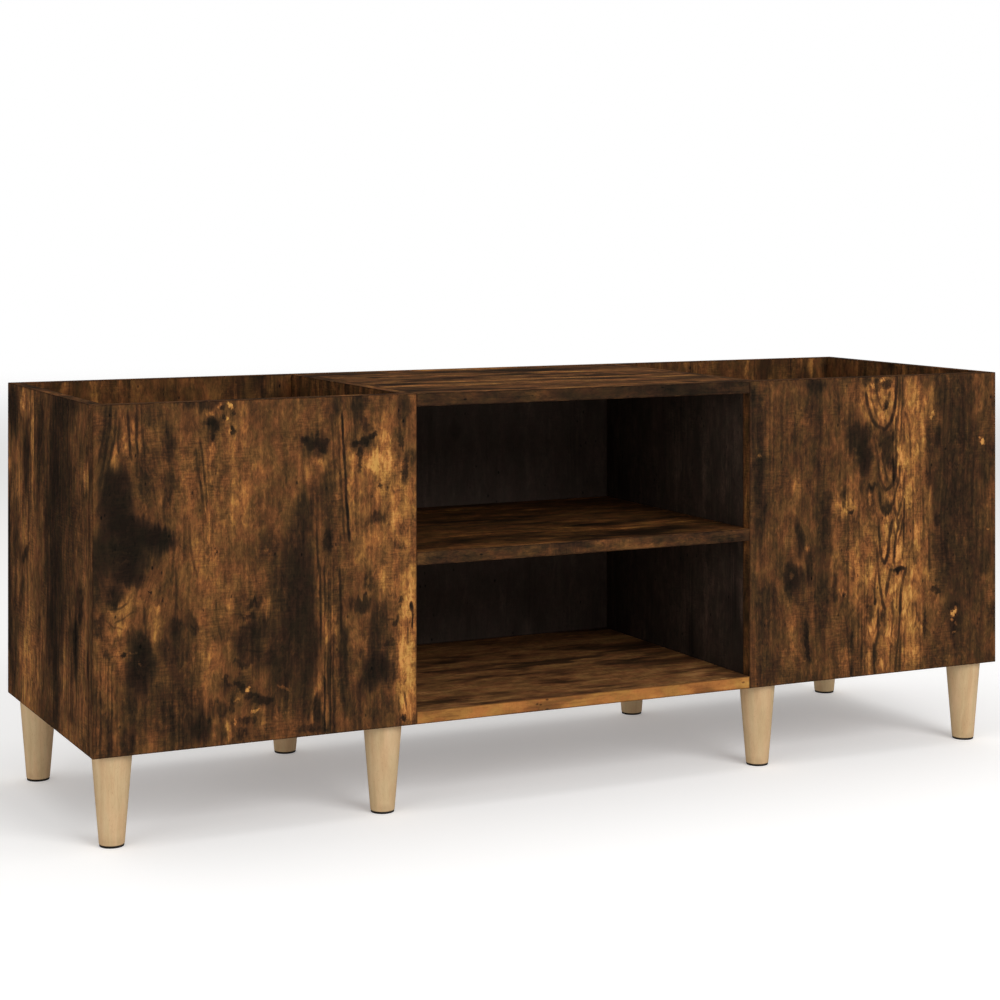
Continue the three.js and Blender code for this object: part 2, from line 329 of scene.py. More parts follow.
def oak(name, box, grain, seed, features=(), strokes=(), on_face=None, lift=0.0, patch=1.0, lines=(), painted_face_light=()):
    """Material of one board. features and strokes are drawn on the face that on_face = (axis, sign) names.

    The last argument lists (axis, sign, lift, greyness, calm) for faces whose colour carries painted light and shade:
    lighter for painted light or darker for painted shade, greyer for the painted neutral colour of the light there, and
    with less contrast."""
    t = Tree(name)
    a, l, s, border, is_wide, facing, signed = board_coords(t, box, grain, seed)
    v = t.vec(a, l, s)

    # The grain wanders slowly across the board.
    w1 = t.noise(t.scaled(v, 75, 190), 1.0)
    w2 = t.noise(t.scaled(v, 17, 46), 2.0)
    aw = t.madd(t.sub(w1, 0.5), 15.0, a)
    aw = t.madd(t.sub(w2, 0.5), 4.2, aw)

    # Coordinates in which the burnt patches are drawn: ragged, and feathered along the grain.
    rx, ry, _ = t.split(t.vmath("SUBTRACT", t.noise(t.scaled(v, 24, 34), 4.0, 0.62, colour=True), (0.5, 0.5, 0.5)))
    feather = t.sub(t.noise(t.scaled(v, 5.0, 60), 2.5, 0.6), 0.5)
    fa = t.madd(rx, 20.0, a)
    fl = t.madd(feather, 26.0, t.madd(ry, 26.0, l))
    fv = t.vec(fa, fl, 1.0)
    # And finer ones for knots and single lines.
    gx, gy, _ = t.split(t.vmath("SUBTRACT", t.noise(t.scaled(v, 9, 18), 3.0, 0.6, colour=True), (0.5, 0.5, 0.5)))
    nx, ny, _ = t.split(t.vmath("SUBTRACT", t.noise(t.scaled(v, 3.6, 4.6), 2.0, 0.6, colour=True), (0.5, 0.5, 0.5)))
    gv = t.vec(t.madd(nx, 7.0, t.madd(gx, 6.0, a)), t.madd(ny, 9.0, t.madd(gy, 8.0, l)), 1.0)
    hv = t.vec(t.madd(gx, 3.4, a), t.madd(gy, 5.0, l), 1.0)

    # Flow of the grain round the knots.
    here = None
    if features:
        axis, sign = on_face
        here = t.mul(facing[axis], signed[axis] if sign > 0 else t.sub(1.0, signed[axis]))
        for k in [f for f in features if f[0] == "knot"]:
            _, ka, kl, ra, rl, deg, strength = k
            g = t.math("EXPONENT", t.mul(t.call(OVAL, gv, *axes(ka, kl, ra * 2.2, rl * 2.2, deg)), -1.0))
            push = t.mul(t.mul(g, here), t.sub(a, ka))
            aw = t.madd(push, -0.8, aw)

    vw = t.vec(aw, l, s)

    # Tone, from wide patches down to single fibres.
    big = t.sub(t.noise(t.scaled(vw, 50, 120), 4.0, 0.55), 0.5)
    mid = t.sub(t.noise(t.scaled(vw, 13, 30), 4.0, 0.6), 0.5)
    streak = t.sub(t.noise(t.scaled(vw, 4.4, 95), 3.0, 0.6), 0.5)
    fibre = t.sub(t.noise(t.scaled(vw, 1.5, 8), 3.0, 0.7), 0.5)
    mottle = t.sub(t.noise(t.scaled(t.vec(aw, fl, s), 6.0, 8.0), 5.0, 0.72), 0.5)
    fleck = t.sub(t.noise(t.scaled(v, 13, 2.0), 3.0, 0.62), 0.5)
    zone = t.remap(t.noise(t.scaled(v, 55, 75), 2.0), 0.44, 0.60)

    # Painted light and shade by face: each listed face is lifted or lowered in tone for how the light falls on it, and
    # its greyness and calm are summed.
    base = 0.5 + lift
    painted_grey_light = calm = None
    for axis, sign, more, greyness, calmness in painted_face_light:
        side = t.mul(facing[axis], signed[axis] if sign > 0 else t.sub(1.0, signed[axis]))
        base = t.madd(side, more, base)
        if greyness:
            painted_grey_light = t.madd(side, greyness, painted_grey_light or 0.0)
        if calmness:
            calm = t.madd(side, calmness, calm or 0.0)
    tone = t.madd(big, 0.95 * patch, base)
    tone = t.madd(mid, 0.62, tone)
    tone = t.madd(streak, 0.35, tone)
    tone = t.madd(fibre, 0.22, tone)
    tone = t.madd(mottle, 0.60, tone)
    tone = t.madd(t.mul(fleck, zone), 0.42, tone)

    # Burnt patches, knots and pale veins wherever none are listed.
    rest = 1.0 if here is None else t.sub(1.0, here)
    ragged = t.vec(fa, fl, s)
    burn = t.madd(streak, 0.34, t.madd(mottle, 0.26, t.noise(t.scaled(ragged, 36, 115), 3.0, 0.55)))
    # Some parts of a board are burnt more than others.
    burn = t.mul(t.remap(burn, 0.47, 0.68), t.remap(t.noise(t.scaled(v, 120, 210), 1.0), 0.40, 0.58, 0.30, 1.0))
    knot = t.remap(t.voronoi(t.scaled(t.vec(t.madd(gx, 12.0, a), t.madd(gy, 22.0, l), s), 95, 170)), 0.03, 0.13, 1.0, 0.0)
    vein = t.remap(t.noise(t.scaled(ragged, 19, 150), 2.0, 0.5), 0.54, 0.70)
    burn = t.math("MAXIMUM", t.mul(burn, 0.68), t.mul(knot, 0.74))
    tone = t.madd(t.mul(t.mul(vein, rest), t.madd(mottle, 1.6, 1.0)), 0.20, tone)
    tone = t.madd(t.sub(tone, 0.08), t.sub(1.0, t.mul(burn, rest)), 0.08)
    band = t.remap(t.noise(t.scaled(vw, 32, 160), 1.0), 0.53, 0.62)
    latewood = t.remap(t.noise(t.scaled(vw, 2.3, 260), 1.5), 0.40, 0.54, 1.0, 0.0)
    tone = t.sub(tone, t.mul(t.mul(t.mul(band, latewood), rest), 0.13))
    # On the listed faces the decor is flattened towards a set tone: the plainer look of an edge band, and on the inner
    # faces of the compartments part of their painted shade.
    if calm is not None:
        tone = t.choose(calm, tone, t.sub(base, 0.06))

    keep = None   # what burnt patches leave
    glow = None   # what pale patches add
    spark = None  # pale specks, also on burnt wood
    # Squared radii between which a feature fades out. The outer one of the dark ones is ragged.
    spans = {"light": (0.05, 1.9), "gleam": (0.2, 1.5)}
    if features:
        spans["dark"] = (0.12, t.math("MAXIMUM", t.madd(mottle, 3.2, 1.75), 0.7))
        spans["mark"] = spans["knot"] = (0.2, t.math("MAXIMUM", t.madd(mottle, 4.5, 1.5), 0.6))
    for kind, fa_, fl_, ra, rl, deg, strength in features:
        at = fv if kind in ("dark", "light") else gv
        if kind in ("dark", "mark", "knot"):
            keep = t.call(DARKEN, at, *axes(fa_, fl_, ra, rl, deg), *spans[kind], 1.0 - strength, 1.0 if keep is None else keep)
        elif kind == "light":
            glow = t.call(BRIGHTEN, at, *axes(fa_, fl_, ra, rl, deg), *spans[kind], strength, 0.0 if glow is None else glow)
        else:
            spark = t.call(BRIGHTEN, at, *axes(fa_, fl_, ra, rl, deg), *spans[kind], strength, 0.0 if spark is None else spark)
    if glow is not None:
        uneven = t.madd(t.add(mottle, t.mul(streak, 0.6)), 1.6, 1.0)
        tone = t.madd(t.mul(t.mul(glow, here), uneven), 0.31, tone)
    if keep is not None:
        keep = t.choose(here, 1.0, keep)
        # The edge of a patch breaks up into streaks.
        keep = t.math("ADD", keep, t.mul(t.mul(t.mul(keep, t.sub(1.0, keep)), t.madd(streak, 0.8, mottle)), 4.0), clamp=True)
        tone = t.madd(t.sub(tone, 0.08), keep, 0.08)
        # Burnt wood still has its cracks.
        tone = t.madd(t.mul(t.add(fleck, mottle), t.sub(1.0, keep)), 0.16, tone)
    if spark is not None:
        tone = t.madd(t.mul(t.mul(spark, here), t.madd(mottle, 2.0, 1.0)), 0.34, tone)

    # Single lines of latewood and cracks: chains of slim lens shapes. The darkest one counts.
    drawn = None
    for strength, half, points in strokes:
        for (x0, y0), (x1, y1) in zip(points, points[1:]):
            run = math.hypot(x1 - x0, y1 - y0)
            turn = math.degrees(math.atan2(-(x1 - x0), y1 - y0))
            drawn = t.call(LINE, hv, *axes((x0 + x1) / 2, (y0 + y1) / 2, half, run * 0.575, turn), 1.0 - strength,
                           1.0 if drawn is None else drawn)
    if drawn is not None:
        # They fade and swell along their length.
        drawn = t.sub(1.0, t.mul(t.sub(1.0, drawn), t.math("MINIMUM", t.madd(gy, 2.2, 1.0), 1.15)))
        drawn = t.choose(here, 1.0, drawn)
        tone = t.madd(t.sub(tone, 0.08), drawn, 0.08)

    # Bundles of long thin lines.
    for (c, l0, l1, slope, spread, pitch, depth) in lines:
        # centre, from, to, lean, half-width of the bundle, pitch of its lines, strength
        along = t.mul(t.remap(l, l0 - 25, l0 + 15), t.remap(l, l1 - 15, l1 + 25, 1.0, 0.0))
        off = t.sub(t.madd(gx, 4.0, a), t.madd(l, slope, c - slope * (l0 + l1) / 2))
        band = t.remap(t.math("ABSOLUTE", off), spread * 0.5, spread, 1.0, 0.0)
        ln = t.noise(t.vec(t.mul(off, 1.0 / pitch), t.mul(l, 1 / 260.0), t.add(s, c * 0.37)), 1.5, 0.5)
        dark = t.remap(ln, 0.38, 0.56, 1.0, 0.0)
        if here is not None:
            band = t.mul(band, here)
        tone = t.sub(tone, t.mul(t.mul(t.mul(along, band), dark), depth))

    # Pin holes and short pores.
    cell = t.voronoi(t.scaled(v, 11, 20))
    hole = t.remap(cell, 0.06, 0.14, 1.0, 0.0)
    pick = t.remap(t.noise(t.scaled(v, 34, 34), 1.0), 0.50, 0.58)
    hole = t.mul(hole, pick)
    tone = t.sub(tone, t.mul(hole, 0.26))
    pore = t.remap(t.noise(t.scaled(vw, 0.9, 8), 2.0, 0.6), 0.58, 0.72)
    tone = t.sub(tone, t.mul(pore, 0.09))

    colour = t.ramp(tone, OAK_TONES)
    # Redder and greener brown in turn.
    hue = t.noise(t.scaled(vw, 17, 34), 4.0, 0.7)
    colour = t.mix(t.remap(hue, 0.38, 0.62), t.mix(1.0, colour, (1.07, 0.955, 0.93, 1.0), "MULTIPLY"),
                   t.mix(1.0, colour, (0.97, 1.035, 0.93, 1.0), "MULTIPLY"))
    # Painted light: the listed faces are greyed, painting in the neutral colour of the light inside the compartments.
    if painted_grey_light is not None:
        grey = t.new("ShaderNodeRGBToBW")
        t.put(grey.inputs[0], colour)
        colour = t.mix(painted_grey_light, colour, grey.outputs[0])
    # Joint of the edge band, a hair's breadth in from each border.
    seam = t.remap(border, 0.9, 1.5, 1.0, 0.0)
    colour = t.mix(t.mul(seam, 0.55), colour, lin((34, 20, 14)))
    # The eased edges are rubbed paler and smoother here and there.
    wear = t.mul(t.remap(border, 0.1, 0.9, 1.0, 0.0), t.remap(t.noise(t.scaled(v, 7, 26), 3.0, 0.6), 0.50, 0.64))
    colour = t.mix(t.mul(wear, 0.32), colour, lin((150, 104, 62)))

    rough = t.madd(wear, -0.12, t.madd(mottle, 0.25, t.madd(fibre, 0.2, 0.64)))
    height = t.madd(fibre, 0.6, t.madd(mottle, 0.35, t.mul(pore, -0.5)))
    height = t.madd(hole, -0.8, height)
    normal = t.bump(height, 0.22, 0.0004)
    return t.finish(colour, rough, normal, specular=0.025)


# ------------------------------------------------------------------- boards

# Features of the decor where the photograph shows them, in face millimetres: across, along, half-width, half-length,
# turn in degrees, strength. dark and light are wide and soft, mark and gleam are small and crisp, knot bends the grain.
LEFT_FRONT = [
    # the big burnt knot and its point
    ("knot", -574, 334, 24, 36, 0, 0.72), ("dark", -580, 379, 20, 34, 0, 0.88), ("dark", -579, 322, 28, 34, 0, 0.62),
    ("dark", -550, 346, 36, 12, -20, 0.84), ("dark", -536, 334, 24, 12, -6, 0.80), ("dark", -553, 320, 22, 15, 0, 0.60),
    ("dark", -564, 297, 18, 13, 0, 0.76), ("dark", -582, 276, 12, 14, 0, 0.72), ("dark", -601, 310, 10, 44, 0, 0.55),
    # upper left
    ("dark", -522, 436, 8, 24, 0, 0.52), ("dark", -521, 384, 6, 34, 0, 0.40), ("dark", -545, 400, 12, 44, 0, 0.30),
    ("dark", -540, 470, 20, 12, 0, 0.25), ("dark", -486, 481, 28, 7, 0, 0.50), ("mark", -472, 460, 6, 6, 30, 0.78), ("mark", -467, 455, 4.5, 7, -10, 0.74), ("dark", -470, 455, 11, 12, 0, 0.30),
    ("mark", -470, 444, 2.5, 6, 0, 0.70), ("mark", -479, 459, 5, 2.5, 0, 0.40), ("mark", -459, 475, 3, 3, 0, 0.60),
    ("gleam", -450, 477, 3, 3, 0, 1.5), ("gleam", -462, 478, 4, 3, 0, 0.8), ("mark", -446, 470, 2.4, 3.5, 0, 0.60),
    ("gleam", -453, 462, 3, 2.5, 0, 1.0), ("mark", -458, 464, 2, 3, 0, 0.60), ("mark", -447, 449, 4, 6, 0, 0.66),
    ("gleam", -450, 449, 1.6, 4, 0, 1.1), ("gleam", -473, 469, 5, 2, 0, 0.5), ("mark", -466, 317, 1.6, 3, 0, 0.75),
    ("mark", -540, 279, 2.2, 1.8, 0, 0.75), ("mark", -527, 269, 1.2, 2, 0, 0.5), ("dark", -590, 455, 8, 40, 0, 0.30),
    # lower left
    ("dark", -553, 226, 13, 16, 0, 0.66), ("dark", -552, 198, 17, 28, 0, 0.86), ("dark", -556, 158, 18, 28, 0, 0.50),
    ("mark", -571, 212, 3, 3, 0, 0.85), ("gleam", -560, 213, 6, 1.0, -8, 0.50), ("gleam", -552, 201, 2.2, 1.1, 0, 0.9), ("gleam", -572, 312, 10, 1.1, 8, 0.22), ("gleam", -569, 322, 9, 1.0, -10, 0.18), ("gleam", -580, 340, 1.2, 10, 12, 0.14), ("gleam", -566, 345, 1.0, 9, -14, 0.14), ("gleam", -574, 302, 8, 1.0, -6, 0.16), ("gleam", -588, 326, 1.2, 8, 10, 0.12),
    ("dark", -511, 238, 9, 13, 0, 0.66), ("dark", -494, 240, 8, 12, 0, 0.56), ("dark", -514, 214, 18, 20, 0, 0.44),
    ("dark", -500, 196, 16, 20, 0, 0.30), ("dark", -567, 116, 8, 20, 0, 0.62), ("dark", -508, 150, 24, 34, 0, 0.34),
    ("dark", -482, 124, 12, 18, 0, 0.60), ("mark", -474, 133, 2.5, 4, 0, 0.60), ("dark", -600, 242, 9, 12, 0, 0.45),
    ("dark", -498, 120, 16, 14, 0, 0.40), ("dark", -462, 146, 12, 9, 0, 0.42), ("dark", -587, 214, 4, 6, 0, 0.40),
    # the scarred middle
    ("mark", -455, 176, 3, 6, 10, 0.60), ("mark", -451, 170, 3.4, 3, 0, 0.50), ("mark", -441, 170, 5, 4, -30, 0.68), ("mark", -436, 164, 3, 5, 0, 0.60), ("dark", -446, 170, 14, 9, 0, 0.26), ("mark", -448, 146, 4, 10, 0, 0.50),
    ("mark", -424, 154, 10, 3.5, 0, 0.60), ("mark", -412, 148, 14, 5, 0, 0.74), ("mark", -430, 128, 12, 5, 0, 0.50),
    ("mark", -436, 114, 8, 7, 0, 0.56), ("gleam", -430, 162, 2.8, 3.2, 0, 1.5), ("gleam", -421, 138, 6.5, 1.9, 4, 1.1),
    ("gleam", -444, 128, 1.6, 4, 0, 0.9), ("gleam", -433, 112, 1.6, 4, 0, 0.7), ("gleam", -441, 152, 5, 1.5, 20, 0.6),
    ("dark", -428, 216, 16, 20, 0, 0.66), ("dark", -412, 232, 16, 14, 0, 0.50), ("dark", -424, 257, 10, 5, 0, 0.62),
    ("dark", -432, 243, 12, 3, 0, 0.60), ("dark", -434, 192, 12, 4, 0, 0.50), ("dark", -410, 196, 16, 12, 0, 0.46),
    # the dark column
    ("dark", -362, 352, 10, 20, 0, 0.60), ("dark", -370, 316, 18, 28, 0, 0.58), ("dark", -378, 262, 24, 44, 0, 0.66),
    ("dark", -362, 262, 12, 50, 0, 0.40), ("dark", -378, 196, 30, 40, 0, 0.62), ("dark", -354, 214, 8, 36, 0, 0.60),
    ("dark", -390, 150, 20, 24, 0, 0.34), ("dark", -362, 150, 10, 30, 0, 0.50), ("dark", -346, 128, 5, 18, 0, 0.60),
    ("mark", -358, 112, 15, 4.5, 3, 0.50), ("mark", -342, 109, 10, 3.5, -6, 0.44), ("dark", -404, 318, 10, 20, 0, 0.34), ("gleam", -387, 161, 8, 1.4, -25, 0.7),
    ("mark", -334, 322, 6, 17, 0, 0.78), ("dark", -334, 370, 9, 40, 0, 0.34), ("dark", -350, 372, 8, 14, 0, 0.34),
    # upper right
    ("mark", -361, 435, 7, 4.5, -20, 0.72), ("mark", -353, 429, 8, 5, 25, 0.80), ("mark", -341, 426, 5.5, 8, 12, 0.76),
    ("mark", -347, 434, 8, 3, 0, 0.50), ("mark", -336, 433, 4, 5, 0, 0.55), ("mark", -346, 442, 2.5, 4, 0, 0.45), ("dark", -350, 430, 16, 12, 0, 0.34),
    ("mark", -299, 429, 7, 4, 20, 0.74), ("mark", -290, 431, 6, 5.5, 0, 0.80), ("mark", -280, 437, 7, 4, 35, 0.76),
    ("mark", -295, 418, 4, 9, -8, 0.70), ("mark", -296, 404, 3.4, 10, 0, 0.52), ("dark", -291, 428, 14, 10, 0, 0.30),
    ("dark", -296, 472, 9, 18, 0, 0.60), ("mark", -290, 452, 5, 12, 16, 0.56), ("dark", -242, 468, 9, 20, 0, 0.40), ("light", -235, 392, 10, 50, 0, 0.34),
    ("mark", -245, 432, 3.5, 16, 8, 0.56), ("mark", -240, 396, 4, 18, -2, 0.66), ("dark", -231, 413, 8, 8, 0, 0.45),
    ("dark", -276, 344, 13, 7, 0, 0.46), ("mark", -270, 378, 2.2, 3.5, 0, 0.50), ("mark", -282, 368, 2, 3, 0, 0.42),
    ("dark", -248, 311, 10, 5, 0, 0.34), ("light", -262, 440, 8, 30, 0, 0.34), ("light", -246, 385, 10, 18, 0, 0.36), ("dark", -240, 330, 8, 6, 0, 0.34), ("dark", -324, 476, 7, 12, 0, 0.30), ("light", -322, 402, 9, 26, 0, 0.42), ("light", -318, 452, 7, 22, 0, 0.42),
    # lower right
    ("dark", -296, 247, 16, 9, 0, 0.58), ("dark", -284, 272, 9, 14, 0, 0.40), ("dark", -270, 228, 12, 18, 0, 0.40),
    ("dark", -278, 204, 7, 22, 0, 0.60), ("dark", -276, 173, 15, 18, 0, 0.86), ("dark", -285, 154, 12, 9, 0, 0.60),
    ("dark", -260, 166, 7, 16, 0, 0.42), ("mark", -262, 199, 4.5, 3.2, 25, 0.52), ("mark", -256, 203, 3.2, 5, 0, 0.48), ("mark", -252, 222, 4.5, 2.8, 40, 0.50), ("mark", -249, 226, 2.4, 4, 0, 0.42),
    ("dark", -316, 200, 6, 24, 0, 0.66), ("dark", -314, 158, 5, 40, 0, 0.50), ("mark", -241, 112, 3.4, 4, 0, 0.75),
    ("dark", -270, 128, 18, 18, 0, 0.30), ("dark", -300, 130, 8, 30, 0, 0.28), ("mark", -244, 247, 3, 4, 0, 0.42),
    # pale wood
    ("light", -455, 400, 46, 80, 0, 0.26), ("light", -270, 350, 34, 110, 0, 0.38), ("light", -478, 290, 26, 60, 0, 0.20),
    ("light", -570, 250, 34, 30, 0, 0.22), ("light", -480, 190, 26, 40, 0, 0.12), ("light", -236, 190, 12, 80, 0, 0.30),
    ("light", -279, 409, 10, 15, 0, 0.95), ("light", -264, 403, 12, 15, 0, 0.90), ("light", -262, 432, 8, 5, 0, 0.45),
    ("light", -306, 408, 5, 26, 0, 0.80), ("light", -306, 350, 4, 44, 0, 0.45), ("light", -262, 372, 20, 14, 0, 0.34),
    ("light", -237, 205, 13, 40, 0, 0.62), ("light", -239, 160, 14, 42, 0, 0.62), ("light", -236, 125, 12, 30, 0, 0.36),
    ("light", -238, 254, 13, 28, 0, 0.60), ("light", -262, 258, 10, 26, 0, 0.50), ("light", -230, 250, 5, 44, 0, 0.40), ("light", -230, 345, 5, 22, 0, 0.20), ("light", -238, 122, 9, 12, 0, 0.36),
    ("light", -236, 342, 8, 34, 0, 0.25), ("light", -252, 340, 6, 24, 0, 0.20), ("light", -268, 322, 7, 16, 0, 0.20),
    ("light", -575, 257, 14, 8, 14, 0.60), ("light", -555, 270, 12, 8, 30, 0.30), ("light", -578, 240, 14, 5, 0, 0.60),
    ("light", -536, 246, 6, 30, 0, 0.55), ("light", -577, 216, 4, 12, 0, 0.58), ("light", -590, 180, 8, 30, 0, 0.30),
    ("light", -474, 392, 5, 60, 0, 0.55), ("light", -478, 306, 10, 30, 0, 0.20), ("light", -444, 432, 9, 40, 0, 0.10),
    ("light", -438, 372, 10, 24, 0, 0.40), ("light", -450, 265, 6, 12, 0, 0.40), ("light", -498, 392, 9, 34, 0, 0.32),
    ("light", -528, 284, 10, 16, 0, 0.12), ("light", -478, 186, 16, 22, 0, 0.20), ("light", -471, 212, 5, 10, 0, 0.35),
    ("light", -453, 118, 3.5, 14, 0, 0.85), ("light", -448, 210, 4, 20, 0, 0.45), ("light", -580, 424, 4, 14, 0, 0.75),
    ("light", -570, 448, 3, 18, 0, 0.55), ("light", -553, 438, 3, 22, 0, 0.50), ("light", -561, 452, 2.5, 12, 0, 0.45),
    ("light", -341, 410, 6, 7, 0, 0.65), ("light", -358, 398, 5, 10, 0, 0.40), ("light", -336, 222, 5, 20, 0, 0.65),
    ("light", -327, 230, 4, 14, 0, 0.55), ("light", -348, 266, 3, 9, 0, 0.60), ("light", -346, 156, 3.5, 13, 0, 0.65),
    ("light", -354, 125, 4, 7, 0, 0.65), ("light", -337, 128, 2.5, 20, 0, 0.45), ("light", -478, 432, 12, 14, 0, 0.30),
    ("light", -406, 250, 6, 14, 0, 0.45), ("light", -390, 136, 10, 14, 0, 0.28), ("light", -300, 205, 7, 14, 0, 0.40),
    ("light", -304, 290, 10, 12, 0, 0.34), ("light", -503, 425, 8, 26, 0, 0.25), ("light", -410, 126, 3, 16, 0, 0.50),
    ("light", -470, 309, 7, 12, 0, 0.28), ("light", -435, 462, 6, 16, 0, 0.45), ("dark", -502, 323, 7, 16, 0, 0.24),
]
LEFT_FRONT_STROKES = [
    (0.80, 1.3, [(-317, 462), (-316, 430), (-313, 398), (-312, 362)]), (0.84, 1.5, [(-312, 366), (-310, 342), (-308, 320)]),
    (0.34, 1.2, [(-322, 450), (-320, 410), (-317, 360), (-314, 322)]), (0.36, 1.3, [(-330, 460), (-328, 432), (-326, 396)]),
    (0.36, 1.0, [(-304, 482), (-302, 450), (-301, 436)]), (0.50, 1.3, [(-348, 332), (-347, 305), (-345, 284)]),
    (0.62, 1.3, [(-344, 290), (-343, 250), (-343, 206)]), (0.36, 1.2, [(-339, 292), (-338, 262), (-337, 242)]),
    (0.70, 1.5, [(-320, 286), (-319, 250), (-318, 214)]), (0.34, 1.1, [(-331, 244), (-330, 214), (-331, 196)]),
    (0.50, 1.3, [(-339, 168), (-337, 148), (-339, 124), (-338, 106)]), (0.48, 1.2, [(-331, 190), (-332, 150), (-331, 106)]),
    (0.36, 1.2, [(-326, 160), (-326, 106)]), (0.34, 1.0, [(-335, 186), (-334, 150)]),
    (0.50, 1.5, [(-584, 482), (-587, 452), (-593, 420), (-597, 392)]), (0.38, 1.1, [(-590, 478), (-592, 452), (-598, 424)]),
    (0.46, 1.4, [(-579, 474), (-581, 446), (-587, 418), (-589, 400)]), (0.40, 1.2, [(-575, 466), (-577, 444), (-576, 430)]),
    (0.50, 1.4, [(-566, 474), (-564, 446), (-562, 424)]), (0.36, 1.0, [(-557, 470), (-557, 444), (-553, 416)]),
    (0.40, 1.1, [(-549, 452), (-548, 432)]), (0.34, 1.2, [(-584, 262), (-574, 263), (-566, 268), (-562, 276)]),
    (0.26, 1.0, [(-580, 248), (-570, 252), (-560, 258)]), (0.24, 1.0, [(-590, 250), (-582, 243), (-572, 240)]),
    (0.40, 1.3, [(-489, 428), (-486, 402), (-481, 372)]), (0.30, 1.1, [(-484, 440), (-480, 404), (-476, 364)]),
    (0.30, 1.3, [(-497, 350), (-495, 320), (-488, 292)]), (0.36, 1.4, [(-512, 300), (-511, 262)]),
    (0.34, 1.3, [(-466, 262), (-465, 240), (-460, 222)]), (0.32, 1.2, [(-548, 262), (-546, 236)]),
    (0.86, 1.7, [(-232, 244), (-231, 232)]), (0.70, 1.0, [(-230, 234), (-231, 216)]), (0.40, 1.1, [(-236, 214), (-236, 196)]),
    (0.34, 1.0, [(-262, 226), (-254, 226)]), (0.26, 1.0, [(-444, 247), (-424, 243)]),
    (0.36, 1.1, [(-434, 206), (-414, 203)]), (0.34, 1.1, [(-438, 232), (-422, 229)]), (0.30, 1.1, [(-398, 258), (-380, 257)]),
    (0.40, 1.0, [(-240, 140), (-238, 122)]), (0.36, 1.0, [(-247, 136), (-246, 106)]),
]
LEFT_FRONT_LINES = [
    (-590, 100, 200, 0.0, 19, 2.2, 0.20), (-333, 105, 290, 0.0, 10, 2.2, 0.16), (-520, 100, 180, 0.0, 30, 2.8, 0.10),
    (-555, 405, 480, 0.0, 14, 2.4, 0.12), (-478, 300, 430, -0.05, 12, 2.4, 0.12), (-306, 330, 483, -0.04, 5, 1.8, 0.10),
]
